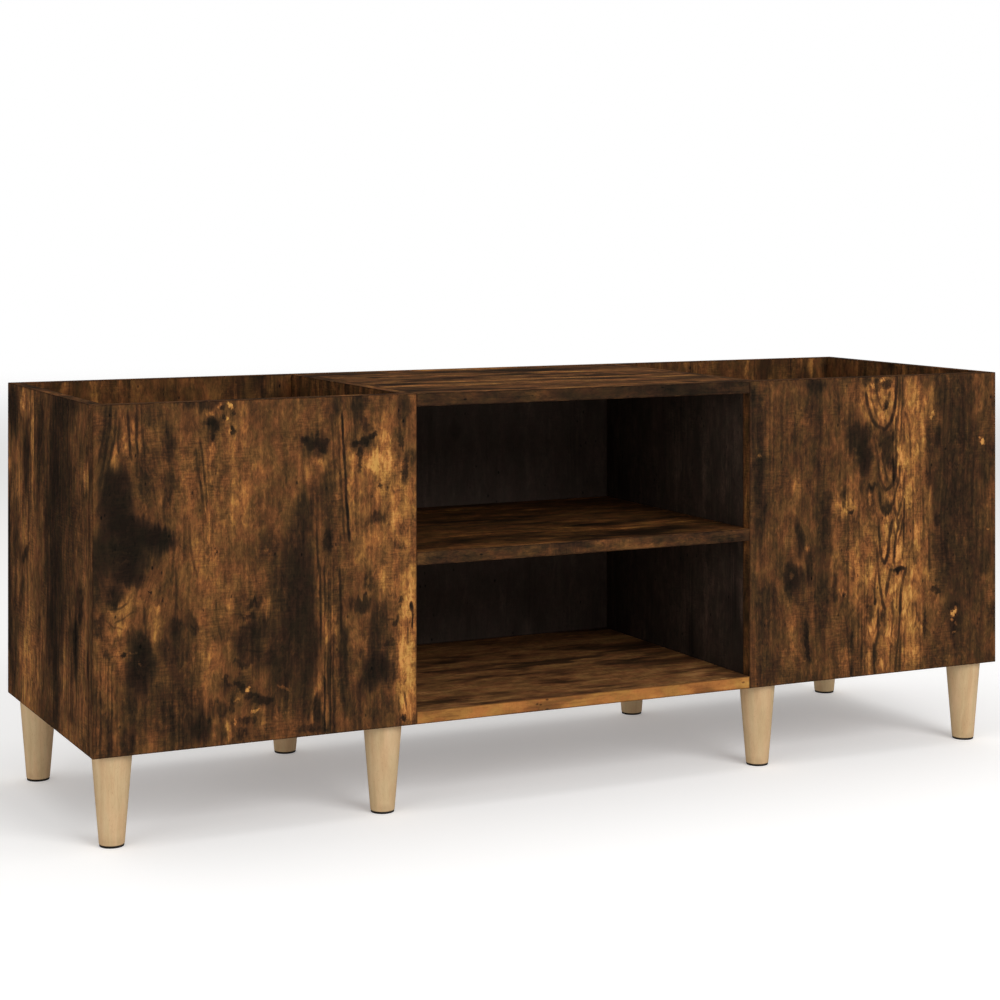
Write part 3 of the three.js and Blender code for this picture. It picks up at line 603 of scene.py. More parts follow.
RIGHT_FRONT = [
    # the tall light tongue with its nested arches
    ("light", 446, 445, 46, 44, 0, 0.40), ("light", 468, 345, 28, 110, 0, 0.42), ("light", 440, 200, 62, 100, 0, 0.55),
    ("light", 293, 345, 8, 28, 0, 0.35), ("light", 375, 300, 40, 60, 0, 0.20), ("light", 430, 290, 24, 50, 0, 0.34),
    ("light", 424, 431, 7, 9, 0, 0.75), ("light", 424, 455, 9, 14, 0, 0.60), ("light", 407, 462, 6, 22, 0, 0.45),
    ("light", 440, 450, 7, 26, 0, 0.50), ("light", 419, 391, 3.5, 8, 15, 0.90), ("light", 423, 360, 3, 16, 8, 0.75),
    ("light", 432, 357, 5, 12, 0, 0.55), ("light", 452, 385, 6, 14, 0, 0.60), ("light", 448, 405, 4, 16, 0, 0.45),
    ("light", 459, 372, 5, 5, 0, 0.60), ("light", 474, 392, 5, 24, 0, 0.30), ("light", 452, 368, 6, 22, 0, 0.80), ("light", 434, 436, 7, 14, 0, 0.45), ("light", 398, 455, 9, 20, 0, 0.42), ("light", 486, 405, 5, 20, 0, 0.45),
    ("light", 474, 462, 12, 20, 0, 0.30), ("light", 487, 440, 8, 12, 0, 0.45), ("light", 466, 440, 5, 14, 0, 0.40),
    ("light", 468, 330, 10, 26, 0, 0.55), ("light", 455, 330, 4, 20, 0, 0.50), ("light", 434, 325, 8, 9, 0, 0.45),
    ("light", 430, 290, 5, 24, 0, 0.60), ("light", 427, 258, 4, 8, 0, 0.75), ("light", 447, 305, 4, 26, 8, 0.55),
    ("light", 450, 260, 4, 14, 0, 0.60), ("light", 481, 276, 5, 22, 0, 0.50), ("light", 438, 250, 4, 8, 0, 0.45),
    ("light", 447, 219, 7, 7, 0, 0.60), ("light", 442, 200, 6, 18, 0, 0.55), ("light", 427, 225, 5, 14, 0, 0.45),
    ("light", 471, 203, 8, 9, 0, 0.50), ("light", 458, 200, 4, 24, 0, 0.65), ("light", 466, 172, 12, 26, 0, 0.35),
    ("light", 473, 158, 8, 14, 0, 0.45), ("light", 484, 158, 4, 6, 0, 0.70), ("light", 476, 228, 5, 8, 0, 0.60),
    ("light", 493, 232, 3, 10, 0, 0.20), ("light", 405, 230, 11, 16, 0, 0.68), ("light", 496, 295, 7, 60, 0, 0.28), ("light", 366, 124, 10, 20, 0, 0.60), ("light", 411, 168, 5, 20, 0, 0.65),
    ("light", 404, 118, 4, 12, 0, 0.75), ("light", 424, 115, 4, 5, 0, 0.75), ("light", 432, 160, 5, 12, 0, 0.40), ("light", 470, 120, 14, 22, 0, 0.72), ("light", 400, 168, 10, 30, 0, 0.10),
    ("light", 374, 320, 14, 15, 0, 0.90), ("light", 378, 246, 18, 34, 0, 0.42), ("light", 352, 262, 7, 24, 0, 0.28), ("light", 366, 312, 5, 8, 0, 0.35), ("light", 406, 330, 3, 9, 0, 0.75),
    ("light", 359, 330, 3, 14, 0, 0.40), ("light", 380, 348, 9, 14, 0, 0.35), ("light", 392, 300, 14, 30, 0, 0.20),
    ("dark", 384, 405, 14, 22, 0, 0.70), ("dark", 396, 380, 12, 24, 0, 0.82), ("dark", 400, 411, 9, 16, 0, 0.56), ("dark", 501, 394, 9, 30, 0, 0.46), ("dark", 372, 420, 10, 22, 0, 0.30),
    ("dark", 409, 340, 10, 5, 0, 0.66), ("dark", 428, 398, 12, 16, 0, 0.56), ("dark", 436, 374, 8, 10, 0, 0.62),
    ("mark", 441, 408, 3.5, 7, 0, 0.62), ("mark", 442, 360, 3, 16, 2, 0.60), ("dark", 432, 313, 8, 9, 0, 0.60),
    ("mark", 430, 446, 4, 5, 20, 0.62), ("mark", 431, 473, 9, 6, 0, 0.56), ("mark", 415, 478, 4, 4, -40, 0.50),
    ("gleam", 424, 478, 4, 4, 0, 1.0), ("gleam", 409, 472, 6, 2, -50, 0.8), ("gleam", 383, 392, 4, 1.6, -10, 0.4),
    ("gleam", 386, 381, 4, 1.4, 0, 0.35), ("mark", 376, 311, 4, 3, 40, 0.80), ("dark", 366, 336, 4, 14, 0, 0.40),
    ("mark", 450, 234.5, 7.5, 3.2, 8, 0.82), ("mark", 447, 232, 3, 4, 20, 0.60), ("mark", 363, 264, 2, 1.4, 0, 0.50), ("dark", 396, 345, 10, 8, 0, 0.12),
    ("mark", 413, 197, 2.6, 5, 0, 0.70), ("dark", 424, 178, 5, 9, 0, 0.45), ("dark", 402, 190, 6, 26, 0, 0.46),
    ("mark", 366, 208, 3.4, 3, 0, 0.60), ("mark", 376, 152, 4, 12, 0, 0.45), ("mark", 491, 162, 2.4, 22, 0, 0.50),
    ("dark", 352, 215, 5, 22, 0, 0.40), ("dark", 378, 130, 10, 22, 0, 0.12), ("mark", 413, 128, 3, 12, 0, 0.45),
    # left of it
    ("dark", 323, 474, 16, 10, 0, 0.76), ("dark", 320, 446, 14, 22, 0, 0.36), ("dark", 399, 479, 6, 12, 0, 0.50),
    ("dark", 299, 286, 6, 24, 8, 0.72), ("knot", 289, 234, 9, 13, 0, 0.50), ("dark", 284, 238, 12, 18, 0, 0.60), ("dark", 284, 216, 9, 12, 0, 0.40), ("dark", 297, 232, 8, 16, 0, 0.50),
    ("gleam", 286, 238, 3.5, 5, 0, 0.8), ("gleam", 310, 270, 5, 4, 0, 0.6), ("mark", 314, 246, 4, 26, 0, 0.56),
    ("mark", 309, 158, 3.4, 26, 4, 0.84), ("mark", 312, 134, 3, 8, 20, 0.60), ("gleam", 306, 130, 3, 2, 0, 0.6),
    ("dark", 236, 400, 12, 70, 0, 0.50), ("dark", 240, 330, 9, 50, 0, 0.50), ("dark", 250, 200, 20, 34, 0, 0.44),
    ("dark", 332, 196, 12, 44, 0, 0.50), ("dark", 334, 300, 12, 50, 0, 0.50), ("dark", 328, 400, 12, 44, 0, 0.34), ("dark", 318, 250, 12, 30, 0, 0.34), ("dark", 348, 460, 10, 26, 0, 0.12),
    ("dark", 310, 108, 22, 10, 0, 0.30), ("dark", 250, 122, 16, 20, 0, 0.34), ("dark", 360, 440, 8, 30, 0, 0.10),
    ("gleam", 239, 389, 4, 3, -20, 1.0), ("dark", 242, 385, 9, 8, 0, 0.40), ("dark", 228, 468, 6, 12, 0, 0.60),
    ("light", 284, 190, 10, 24, 0, 0.45), ("light", 282, 140, 12, 20, 0, 0.38), ("light", 290, 168, 10, 26, 0, 0.30),
    ("light", 364, 212, 4, 4, 0, 0.60), ("light", 348, 250, 4, 28, 0, 0.34), ("light", 270, 290, 8, 30, 0, 0.10),
    ("light", 380, 200, 8, 20, 0, 0.12), ("dark", 240, 150, 12, 26, 0, 0.26), ("light", 352, 318, 6, 20, 0, 0.35),
    # right of it
    ("dark", 512, 402, 5, 18, 0, 0.72), ("dark", 516, 460, 12, 30, 0, 0.34), ("mark", 511, 295, 5, 9, 0, 0.60),
    ("dark", 545, 362, 36, 70, 0, 0.44), ("dark", 550, 285, 44, 56, 0, 0.40), ("dark", 524, 240, 18, 36, 0, 0.30),
    ("dark", 545, 452, 24, 36, 0, 0.38), ("mark", 505, 206, 5, 3.4, -20, 0.60), ("mark", 511, 202, 5, 4, 10, 0.60), ("mark", 510, 208, 2.4, 4, 0, 0.40), ("dark", 538, 166, 13, 26, 0, 0.62),
    ("gleam", 537, 172, 6, 4, 20, 2.3), ("gleam", 534, 165, 3, 2, 0, 1.7), ("gleam", 540, 158, 2, 2, 0, 0.8),
    ("gleam", 538, 148, 3.5, 1.4, 0, 1.2), ("mark", 541, 182, 4, 5, 0, 0.60), ("dark", 497, 352, 6, 14, 0, 0.42),
    ("dark", 560, 220, 24, 30, 0, 0.34), ("dark", 592, 372, 12, 40, 0, 0.34), ("dark", 512, 118, 18, 22, 0, 0.22),
    ("gleam", 584, 393, 4, 4, 10, 1.9), ("gleam", 580, 398, 2, 2, 0, 1.0), ("gleam", 504, 432, 2.4, 6, -38, 1.0),
    ("gleam", 500, 427, 3, 2, 0, 0.8), ("light", 588, 300, 6, 40, 0, 0.20), ("light", 578, 452, 8, 30, 0, 0.34),
    ("light", 592, 205, 10, 26, 0, 0.15), ("light", 503, 454, 6, 22, 0, 0.40), ("light", 500, 306, 4, 22, 0, 0.45),
    ("gleam", 592, 279, 3, 2, 0, 0.8), ("light", 502, 250, 5, 20, 0, 0.15), ("dark", 532, 138, 10, 16, 0, 0.26),
    ("light", 512, 180, 5, 16, 0, 0.30), ("dark", 585, 235, 12, 20, 0, 0.30), ("dark", 552, 120, 18, 20, 0, 0.20),
    ("light", 451, 340, 8, 14, 0, 0.50), ("light", 435, 214, 5, 10, 0, 0.45), ("light", 455, 272, 5, 12, 0, 0.40),
    ("light", 436, 148, 8, 14, 0, 0.35), ("dark", 414, 410, 6, 14, 0, 0.30), ("gleam", 540, 177, 3, 4, 0, 1.4),
]
RIGHT_FRONT_STROKES = [
    (0.57, 2.2, [(399, 462), (402, 444), (408, 430), (417, 419), (428, 415)]),
    (0.62, 2.2, [(428, 415), (437, 423), (442, 436), (446, 458), (447, 482)]),
    (0.29, 1.4, [(406, 482), (407, 458), (412, 442), (418, 428)]), (0.34, 1.4, [(416, 466), (419, 450), (424, 442)]),
    (0.43, 1.6, [(426, 440), (433, 446), (436, 462)]), (0.38, 1.5, [(451, 482), (451, 450), (448, 424), (446, 404)]),
    (0.34, 1.4, [(456, 482), (456, 452), (454, 424), (452, 400)]), (0.33, 1.5, [(460, 436), (466, 424), (468, 404), (468, 380)]),
    (0.43, 1.6, [(446, 430), (447, 404), (446, 378)]), (0.34, 1.3, [(458, 420), (458, 398)]),
    (0.38, 1.6, [(414, 398), (418, 374), (421, 352), (430, 337)]), (0.60, 2.1, [(430, 337), (440, 343), (445, 360), (447, 384)]),
    (0.43, 1.6, [(424, 384), (428, 366), (432, 350)]), (0.38, 1.5, [(452, 366), (450, 348), (444, 332), (441, 318)]),
    (0.34, 1.4, [(459, 352), (457, 330), (452, 314), (447, 300)]), (0.48, 1.9, [(420, 334), (422, 318), (429, 304)]),
    (0.48, 1.9, [(429, 304), (437, 313), (443, 326)]), (0.43, 1.7, [(443, 314), (447, 302), (449, 290)]),
    (0.53, 1.8, [(418, 300), (420, 272), (423, 252), (428, 244)]), (0.64, 2.3, [(428, 244), (433, 256), (435, 276), (440, 298)]),
    (0.46, 1.7, [(442, 244), (443, 262), (447, 282), (453, 302)]), (0.43, 1.5, [(456, 250), (457, 272), (458, 296), (459, 322)]),
    (0.38, 1.4, [(449, 270), (453, 284), (457, 300)]), (0.48, 1.7, [(416, 262), (418, 238), (421, 214), (424, 198)]),
    (0.57, 2.1, [(424, 198), (428, 186)]), (0.53, 2.1, [(430, 204), (433, 220), (438, 236)]),
    (0.55, 1.9, [(442, 234), (452, 238), (462, 234)]), (0.57, 2.1, [(462, 236), (457, 222), (453, 204), (452, 176)]),
    (0.43, 1.7, [(452, 180), (450, 152), (446, 124), (444, 104)]), (0.38, 1.5, [(453, 150), (452, 124), (451, 104)]),
    (0.45, 1.7, [(418, 186), (418, 158), (414, 140)]), (0.52, 1.9, [(412, 142), (411, 124), (413, 104)]),
    (0.34, 1.4, [(440, 196), (441, 176), (439, 152)]), (0.34, 1.4, [(420, 260), (413, 224), (412, 200)]),
    (0.38, 1.4, [(370, 250), (371, 232)]), (0.31, 1.3, [(397, 172), (398, 140), (397, 106)]),
    (0.29, 1.3, [(391, 140), (390, 106)]), (0.31, 1.3, [(477, 190), (478, 172), (475, 160)]), (0.26, 1.3, [(462, 190), (464, 172)]),
    (0.29, 1.2, [(364, 320), (374, 313)]), (0.26, 1.3, [(458, 150), (459, 120)]), (0.29, 1.3, [(437, 140), (436, 112)]),
    (0.26, 1.3, [(472, 340), (473, 300), (471, 260)]), (0.26, 1.3, [(488, 330), (489, 290)]), (0.26, 1.4, [(498, 276), (497, 230)]),
    (0.29, 1.3, [(368, 180), (372, 150), (373, 120)]), (0.26, 1.2, [(380, 300), (381, 262)]), (0.22, 1.2, [(388, 320), (389, 280)]),
]
RIGHT_FRONT_LINES = [
    (448, 260, 483, -0.02, 12, 2.6, 0.12), (449, 100, 225, 0.0, 9, 2.6, 0.14), (375, 250, 340, 0.0, 12, 2.4, 0.12),
    (385, 103, 200, 0.0, 18, 2.6, 0.16), (470, 230, 330, 0.0, 12, 2.6, 0.12), (260, 260, 460, 0.0, 24, 3.0, 0.07),
]
LEFT_SIDE = [
    # the burnt middle and the smaller dark zones
    ("dark", -45, 425, 50, 66, 0, 0.50), ("dark", -36, 335, 40, 70, 0, 0.56), ("dark", -95, 378, 26, 44, 0, 0.43),
    ("dark", -42, 250, 34, 60, 0, 0.54), ("dark", -22, 205, 24, 46, 0, 0.50), ("dark", -40, 150, 16, 50, 0, 0.50),
    ("dark", -14, 114, 22, 18, 0, 0.28), ("dark", -70, 470, 44, 20, 0, 0.41), ("dark", -100, 478, 50, 8, 0, 0.37),
    ("dark", 24, 428, 16, 56, 0, 0.40), ("dark", 42, 400, 8, 70, 0, 0.35), ("dark", 98, 396, 13, 44, 0, 0.55),
    ("dark", 163, 455, 26, 28, 0, 0.61), ("dark", 104, 284, 24, 7, -34, 0.55), ("dark", 120, 240, 7, 22, 0, 0.42),
    ("dark", 184, 290, 8, 50, 0, 0.64), ("dark", 180, 205, 14, 50, 0, 0.55), ("dark", 164, 140, 14, 40, 0, 0.28),
    ("dark", 6, 352, 12, 40, 0, 0.35), ("dark", 2, 268, 12, 40, 0, 0.38), ("dark", -122, 215, 11, 34, 0, 0.60), ("dark", -140, 262, 14, 30, 0, 0.38),
    ("dark", -178, 200, 11, 22, 0, 0.66), ("dark", -186, 150, 6, 40, 0, 0.41), ("mark", -174, 432, 14, 6, 0, 0.30), ("light", -188, 400, 6, 40, 0, 0.40),
    ("dark", -130, 345, 24, 30, 0, 0.30), ("dark", -100, 290, 20, 44, 0, 0.25), ("light", -76, 134, 8, 22, 0, 0.16),
    ("mark", -140, 246, 5, 8, 0, 0.50), ("dark", 150, 300, 14, 40, 0, 0.25), ("dark", 150, 210, 12, 40, 0, 0.25),
    # lighter wood
    ("light", 67, 420, 8, 64, 0, 0.85), ("light", 100, 464, 22, 18, 0, 0.55), ("light", 116, 468, 8, 18, 0, 0.60),
    ("light", -166, 404, 13, 14, 0, 0.80), ("light", -178, 454, 8, 9, 0, 0.40), ("light", 136, 372, 16, 44, 0, 0.38),
    ("light", 104, 310, 26, 16, 0, 0.40), ("light", 66, 282, 12, 16, 0, 0.25), ("light", 94, 215, 26, 50, 0, 0.34),
    ("light", 86, 150, 44, 56, 0, 0.62), ("light", 104, 122, 20, 22, 0, 0.30), ("light", 24, 190, 9, 40, 0, 0.60),
    ("light", -76, 180, 7, 46, 0, 0.46), ("light", -140, 150, 26, 34, 0, 0.30), ("light", -100, 112, 30, 14, 0, 0.40),
    ("light", -162, 260, 12, 60, 0, 0.26), ("light", 183, 395, 6, 22, 0, 0.60),
    ("light", 166, 372, 12, 36, 0, 0.12), ("light", 138, 250, 9, 30, 0, 0.36), ("light", -186, 340, 8, 50, 0, 0.30),
    ("light", -186, 408, 6, 12, 0, 0.45), ("light", 36, 156, 12, 26, 0, 0.42), ("light", 44, 250, 12, 18, 0, 0.30),
    ("dark", -16, 146, 9, 14, 0, 0.28), ("dark", 150, 430, 12, 12, 0, 0.28), ("dark", 182, 330, 6, 30, 0, 0.36), ("dark", 174, 428, 8, 12, 0, 0.26),
]
LEFT_SIDE_STROKES = [
    (0.40, 1.6, [(88, 380), (86, 330), (92, 292)]), (0.34, 1.5, [(-102, 240), (-104, 190), (-100, 130)]),
    (0.34, 1.4, [(20, 220), (24, 160), (22, 110)]), (0.40, 1.5, [(60, 482), (60, 420), (62, 350)]),
    (0.36, 1.4, [(78, 482), (80, 420), (79, 360)]), (0.40, 1.6, [(-132, 240), (-130, 200), (-126, 150)]),
]
LEFT_SIDE_LINES = [
    (-100, 110, 260, 0.0, 40, 3.4, 0.10), (20, 110, 250, 0.0, 30, 3.4, 0.10),
]

X, Y, Z = 0, 1, 2
BOARDS = {
    # node: (grain axis, seed, features, strokes, (axis, sign) of the face they are on, lines, lift, patch), or without
    # features (grain axis, seed) or (grain axis, seed, patch)
    "left_front_panel": (Z, 11.0, LEFT_FRONT, LEFT_FRONT_STROKES, (Y, -1), LEFT_FRONT_LINES, 0.0, 0.40),
    "right_front_panel": (Z, 23.0, RIGHT_FRONT, RIGHT_FRONT_STROKES, (Y, -1), RIGHT_FRONT_LINES, -0.03, 0.42),
    "left_side_panel": (Z, 37.0, LEFT_SIDE, LEFT_SIDE_STROKES, (X, -1), LEFT_SIDE_LINES, 0.01, 0.42),
    "right_side_panel": (Z, 41.0),
    "left_divider_panel": (Z, 53.0, 0.5),
    "right_divider_panel": (Z, 59.0, 0.4),
    "left_back_panel": (Z, 61.0),
    "right_back_panel": (Z, 67.0),
    "centre_back_panel": (Z, 71.0, 0.5),
    "centre_top_board": (X, 83.0),
    "centre_shelf": (X, 97.0),
    "centre_bottom_board": (X, 101.0, 0.55),
    "left_bottom_board": (X, 113.0),
    "right_bottom_board": (X, 127.0),
    "left_record_floor": (X, 131.0),
    "right_record_floor": (X, 139.0),
    "left_front_floor_rail": (X, 149.0),
    "left_rear_floor_rail": (X, 151.0),
    "right_front_floor_rail": (X, 157.0),
    "right_rear_floor_rail": (X, 163.0),
}
# Painted light and shade by face: the compartments' inner faces and the front edges are made darker or lighter, greyer
# and flatter, and the top faces of the top and bottom boards lighter, for how the light falls on them.
PAINTED_FACE_LIGHT = {
    "left_divider_panel": [(X, 1, -0.10, 0.35, 0.30)],
    "right_divider_panel": [(X, -1, -0.13, 0.50, 0.50)],
    "centre_back_panel": [(Y, -1, 0.0, 0.62, 0.72)],
    "centre_top_board": [(Y, -1, -0.25, 0.0, 0.2), (Z, 1, 0.05, 0.0, 0.0)],
    "centre_shelf": [(Y, -1, -0.16, 0.0, 0.0)],
    "centre_bottom_board": [(Y, -1, 0.33, 0.0, 0.62), (Z, 1, 0.24, 0.1, 0.2)],
}
for name, row in BOARDS.items():
    if len(row) < 4:
        row = (*row[:2], (), (), None, (), 0.045, row[2] if len(row) > 2 else 0.6)
    grain, seed, features, strokes, face, lines, lift, patch = row
    o = nodes[name]
    mat = oak("oak_" + name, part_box(name), grain, seed, features, strokes, face, lift, patch, lines, PAINTED_FACE_LIGHT.get(name, ()))
    o.data.materials.clear()
    o.data.materials.append(mat)
    weld = o.modifiers.new("weld", "WELD")
    weld.merge_threshold = 2e-6
    ease = o.modifiers.new("eased_edges", "BEVEL")
    ease.width = 0.0006
    ease.segments = 2
    ease.limit_method = "ANGLE"
    ease.angle_limit = math.radians(50)
    ease.harden_normals = False


# --------------------------------------------------------------------- legs

def leg_wood(name, axis_x, axis_y, seed):
    t = Tree(name)
    p = t.vmath("MULTIPLY", t.coord("Object"), (1000.0, 1000.0, 1000.0))
    x, y, z = t.split(p)
    lx, ly = t.sub(x, axis_x * 1000), t.sub(y, axis_y * 1000)
    wav = t.noise(t.vec(t.mul(lx, 1 / 30.0), t.mul(ly, 1 / 30.0), t.madd(z, 1 / 90.0, seed)), 2.0, colour=True)
    wx, wy, _ = t.split(t.vmath("SUBTRACT", wav, (0.5, 0.5, 0.5)))
    # Growth rings about a pith well outside the leg, so that the turned face shows near-straight grain.
    rx = t.add(t.madd(wx, 14.0, lx), 46.0 * math.cos(seed))
    ry = t.add(t.madd(wy, 14.0, ly), 46.0 * math.sin(seed))
    r = t.math("SQRT", t.add(t.mul(rx, rx), t.mul(ry, ry)))
    ring = t.noise(t.vec(t.mul(r, 1 / 3.2), t.mul(z, 1 / 220.0), seed), 2.0, 0.5)
    fibre = t.noise(t.vec(t.mul(lx, 1 / 0.9), t.mul(ly, 1 / 0.9), t.madd(z, 1 / 24.0, seed)), 3.0, 0.65)
    cloud = t.noise(t.vec(t.mul(lx, 1 / 16.0), t.mul(ly, 1 / 16.0), t.madd(z, 1 / 45.0, seed + 9)), 3.0, 0.55)
    tone = t.madd(t.sub(ring, 0.5), 0.55, 0.5)
    tone = t.madd(t.sub(fibre, 0.5), 0.45, tone)
    tone = t.madd(t.sub(cloud, 0.5), 0.55, tone)
    colour = t.ramp(tone, [
        (0.10, lin((172, 141, 101))), (0.38, lin((186, 156, 116))), (0.52, lin((193, 164, 124))),
        (0.68, lin((198, 169, 130))), (0.92, lin((206, 177, 137))),
    ])
    tint = t.noise(t.vec(t.mul(lx, 1 / 9.0), t.mul(ly, 1 / 9.0), t.madd(z, 1 / 60.0, seed + 4)), 2.0)
    colour = t.mix(t.remap(tint, 0.35, 0.65), t.mix(1.0, colour, (1.03, 0.985, 0.97, 1.0), "MULTIPLY"),
                   t.mix(1.0, colour, (0.985, 1.01, 1.0, 1.0), "MULTIPLY"))
    ray = t.remap(t.noise(t.vec(t.mul(lx, 1 / 0.7), t.mul(ly, 1 / 0.7), t.madd(z, 1 / 3.4, seed + 2)), 1.0), 0.63, 0.72)
    colour = t.mix(t.mul(ray, 0.30), colour, lin((150, 112, 72)))
    # Scuffed a little where it stands.
    scuff = t.mul(t.remap(z, 6, 15, 1.0, 0.0), t.remap(cloud, 0.44, 0.60))
    colour = t.mix(t.mul(scuff, 0.22), colour, lin((132, 98, 64)))
    rough = t.madd(scuff, 0.15, t.madd(t.sub(fibre, 0.5), 0.25, 0.46))
    normal = t.bump(t.madd(ray, -0.4, fibre), 0.12, 0.0003)
    return t.finish(colour, rough, normal, specular=0.35)


def glide_plastic():
    t = Tree("glide_plastic_dark")
    p = t.vmath("MULTIPLY", t.coord("Object"), (1000.0, 1000.0, 1000.0))
    grain = t.noise(t.scaled(p, 0.6, 0.6, 0.6), 3.0, 0.6)
    scuff = t.noise(t.scaled(p, 6, 1.4, 6), 4.0, 0.65)
    colour = t.ramp(t.madd(t.sub(scuff, 0.5), 0.8, grain), [
        (0.25, lin((18, 13, 11))), (0.5, lin((30, 22, 18))), (0.8, lin((52, 41, 34)))])
    rough = t.madd(t.sub(scuff, 0.5), 0.4, 0.55)
    return t.finish(colour, rough, t.bump(grain, 0.25, 0.0002), specular=0.4)


def zinc():
    t = Tree("zinc_steel_plated")
    p = t.vmath("MULTIPLY", t.coord("Object"), (1000.0, 1000.0, 1000.0))
    spangle = t.noise(t.scaled(p, 3.0, 3.0, 3.0), 4.0, 0.6)
    scratch = t.noise(t.scaled(p, 0.35, 6.0, 2.0), 3.0, 0.6)
    colour = t.ramp(spangle, [(0.3, lin((150, 149, 146))), (0.55, lin((186, 185, 181))), (0.8, lin((205, 203, 196)))])
    rough = t.madd(t.sub(scratch, 0.5), 0.5, t.madd(t.sub(spangle, 0.5), 0.3, 0.34))
    return t.finish(colour, rough, t.bump(t.add(scratch, spangle), 0.12, 0.0002), metallic=1.0)


GLIDE, ZINC = glide_plastic(), zinc()


def turned(name, cx, cy, profile, material, segments=72):
    """A solid turned about a vertical axis, from (radius, height) pairs in metres that begin and end on the axis."""
    bm = bmesh.new()
    rings = []
    for r, z in profile:
        if r == 0:
            rings.append([bm.verts.new((cx, cy, z))])
        else:
            rings.append([bm.verts.new((cx + r * math.cos(2 * math.pi * i / segments),
                                        cy + r * math.sin(2 * math.pi * i / segments), z)) for i in range(segments)])
    for p, q in zip(rings, rings[1:]):
        for i in range(segments):
            j = (i + 1) % segments
            if len(p) == 1:
                bm.faces.new((p[0], q[i], q[j]))
            elif len(q) == 1:
                bm.faces.new((p[i], q[0], p[j]))
            else:
                bm.faces.new((p[i], q[i], q[j], p[j]))
    bmesh.ops.recalc_face_normals(bm, faces=bm.faces)
    me = bpy.data.meshes.new(name)
    bm.to_mesh(me)
    bm.free()
    for f in me.polygons:
        f.use_smooth = True
    me.set_sharp_from_angle(angle=math.radians(38))
    me.materials.append(material)
    o = bpy.data.objects.new(name, me)
    scene.collection.objects.link(o)
    return o


def arc(cx, cz, r, a0, a1, n):
    return [(cx + r * math.cos(math.radians(a0 + (a1 - a0) * i / n)), cz + r * math.sin(math.radians(a0 + (a1 - a0) * i / n)))
            for i in range(n + 1)]


feet = [n[:-4] for n in nodes if n.endswith("_leg")]
for k, foot in enumerate(sorted(feet)):
    lo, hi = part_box(foot + "_leg")
    cx, cy = (lo.x + hi.x) / 2, (lo.y + hi.y) / 2
    top_r, z0, z1 = (hi.x - lo.x) / 2, lo.z, hi.z
    foot_r = 0.0141
    e = 0.0011
    profile = [(0, z0 + 0.017), (0.0014, z0 + 0.017), (0.0014, z0)]
    profile += arc(foot_r - e, z0 + e, e, -90, 4, 5)
    steps = 14
    profile += [(foot_r + (top_r - foot_r) * i / steps, z0 + e + (z1 - z0 - e - 0.0008) * i / steps) for i in range(1, steps + 1)]
    profile += arc(top_r - 0.0008, z1 - 0.0008, 0.0008, 30, 90, 3)
    profile += [(0.0042, z1), (0.0042, z1 - 0.039), (0, z1 - 0.039)]
    leg = turned("turned_" + foot + "_leg", cx, cy, profile, leg_wood("wood_" + foot, cx, cy, 1.7 + 2.3 * k))
    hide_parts(foot + "_leg")
    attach(leg, "root")

    glo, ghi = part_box(foot + "_glide")
    gr = (ghi.x - glo.x) / 2
    rim = z0 - 0.00005
    profile = [(0, 0.0004), (0.0100, 0.0004), (0.0104, 0.0)]
    profile += arc(gr - 0.0009, 0.0009, 0.0009, -90, 0, 4)
    profile += arc(gr - 0.0003, rim - 0.0003, 0.0003, 0, 90, 2)
    profile += [(0.0011, rim), (0.0011, 0.0165), (0, ghi.z)]
    glide = turned("moulded_" + foot + "_glide", cx, cy, profile, GLIDE)
    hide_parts(foot + "_glide")
    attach(glide, "root")

for name, o in nodes.items():
    if name.endswith(("_cam_connector", "_leg_bolt", "_insert_nut")):
        o.data.materials.clear()
        o.data.materials.append(ZINC)


# ------------------------------------------------------------- stage, lights

def stage_floor():
    """A pale floor that fades into the backdrop with distance and is seen through from below."""
    t = Tree("studio_floor")
    p = t.coord("Object")
    cloud = t.noise(t.scaled(p, 0.9, 0.9, 0.9), 2.0)
    speck = t.noise(t.scaled(p, 0.004, 0.004, 0.004), 3.0, 0.6)
    colour = t.mix(t.madd(speck, 0.25, t.mul(cloud, 0.3)), (0.90, 0.90, 0.90, 1.0), (0.87, 0.87, 0.87, 1.0))
    t.finish(colour, 0.75, specular=0.1)
    clear = t.new("ShaderNodeBsdfTransparent")
    far = t.remap(t.vmath("LENGTH", p), 3.0, 8.0)
    below = t.new("ShaderNodeNewGeometry").outputs["Backfacing"]
    glow = t.new("ShaderNodeEmission")
    glow.inputs["Strength"].default_value = 0.27
    table = t.new("ShaderNodeAddShader")
    t.nt.links.new(t.bsdf.outputs[0], table.inputs[0])
    t.nt.links.new(glow.outputs[0], table.inputs[1])
    m = t.new("ShaderNodeMixShader")
    t.put(m.inputs[0], t.math("MAXIMUM", far, below))
    t.nt.links.new(table.outputs[0], m.inputs[1])
    t.nt.links.new(clear.outputs[0], m.inputs[2])
    t.nt.links.new(m.outputs[0], t.out.inputs["Surface"])
    me = bpy.data.meshes.new("floor")
    s = 9.0
    me.from_pydata([(-s, -s, 0), (s, -s, 0), (s, s, 0), (-s, s, 0)], [], [(0, 1, 2, 3)])
    me.materials.append(t.mat)
    o = bpy.data.objects.new("floor", me)
    o.visible_glossy = False  # nor does its whiteness veil the boards
    scene.collection.objects.link(o)


stage_floor()

world = bpy.data.worlds.new("studio")
scene.world = world
world.use_nodes = True
wt = world.node_tree
bg = wt.nodes["Background"]
bg.inputs["Color"].default_value = (1.0, 1.0, 1.0, 1.0)
bg.inputs["Strength"].default_value = 1.0
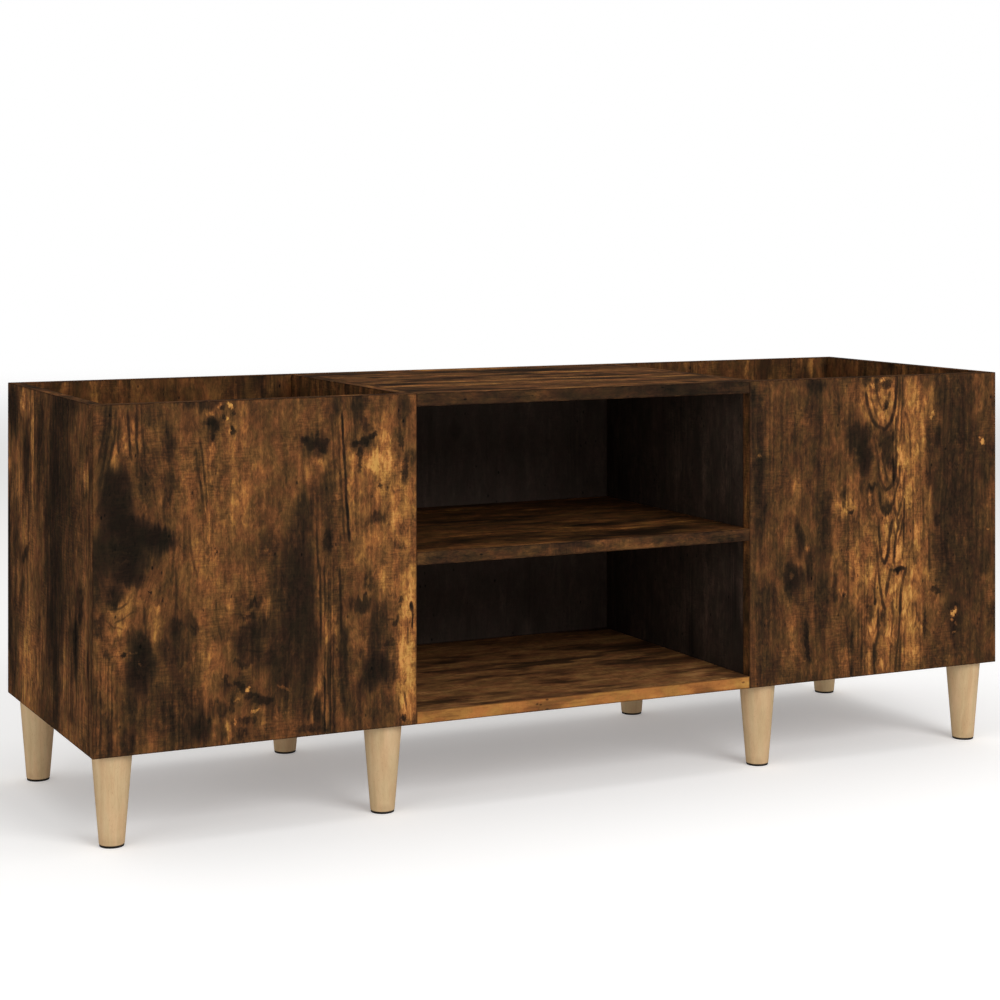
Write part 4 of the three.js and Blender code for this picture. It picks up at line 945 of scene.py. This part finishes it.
# The room is dimmer than the white backdrop that is seen behind the piece.
room = wt.nodes.new("ShaderNodeBackground")
room.inputs["Color"].default_value = (1.0, 0.985, 0.965, 1.0)
room.inputs["Strength"].default_value = 0.46
seen = wt.nodes.new("ShaderNodeLightPath")
both = wt.nodes.new("ShaderNodeMixShader")
# Black flags round the set keep its glare off the boards.
flags = wt.nodes.new("ShaderNodeBackground")
flags.inputs["Color"].default_value = (1.0, 1.0, 1.0, 1.0)
flags.inputs["Strength"].default_value = 0.08
lit = wt.nodes.new("ShaderNodeMixShader")
wt.links.new(seen.outputs["Is Glossy Ray"], lit.inputs[0])
wt.links.new(room.outputs[0], lit.inputs[1])
wt.links.new(flags.outputs[0], lit.inputs[2])
wt.links.new(seen.outputs["Is Camera Ray"], both.inputs[0])
wt.links.new(lit.outputs[0], both.inputs[1])
wt.links.new(bg.outputs[0], both.inputs[2])
wt.links.new(both.outputs[0], wt.nodes["World Output"].inputs["Surface"])


def area(name, where, aim, size, power):
    data = bpy.data.lights.new(name, "AREA")
    data.shape = "RECTANGLE"
    data.size, data.size_y = size
    data.energy = power
    o = bpy.data.objects.new(name, data)
    o.location = where
    o.rotation_euler = (Vector(aim) - Vector(where)).to_track_quat("-Z", "Y").to_euler()
    o.visible_camera = False
    scene.collection.objects.link(o)
    return o


area("key", (0.9, -3.4, 2.2), (0, 0, 0.25), (2.4, 1.8), 78)
side = area("side", (-3.3, -1.7, 0.9), (-0.4, 0, 0.2), (2.0, 1.2), 26)
side.visible_glossy = False  # it would veil the burnt wood of the side panel
area("top", (0.0, 0.3, 3.2), (0, 0, 0.3), (3.5, 2.5), 30)

cam_data = bpy.data.cameras.new("camera")
cam = bpy.data.objects.new("camera", cam_data)
scene.collection.objects.link(cam)
cam.location = (-1.2497, -2.5060, 0.6768)
cam.rotation_euler = (math.radians(90), 0, math.radians(-26.027))
cam_data.sensor_width = 36.0
cam_data.lens = 2205.6 / 1000 * 36
cam_data.shift_x = 0.0
cam_data.shift_y = -(500 - 224.5) / 1000
cam_data.clip_start, cam_data.clip_end = 0.05, 60
scene.camera = cam

scene.view_settings.view_transform = "Standard"
scene.view_settings.look = "None"
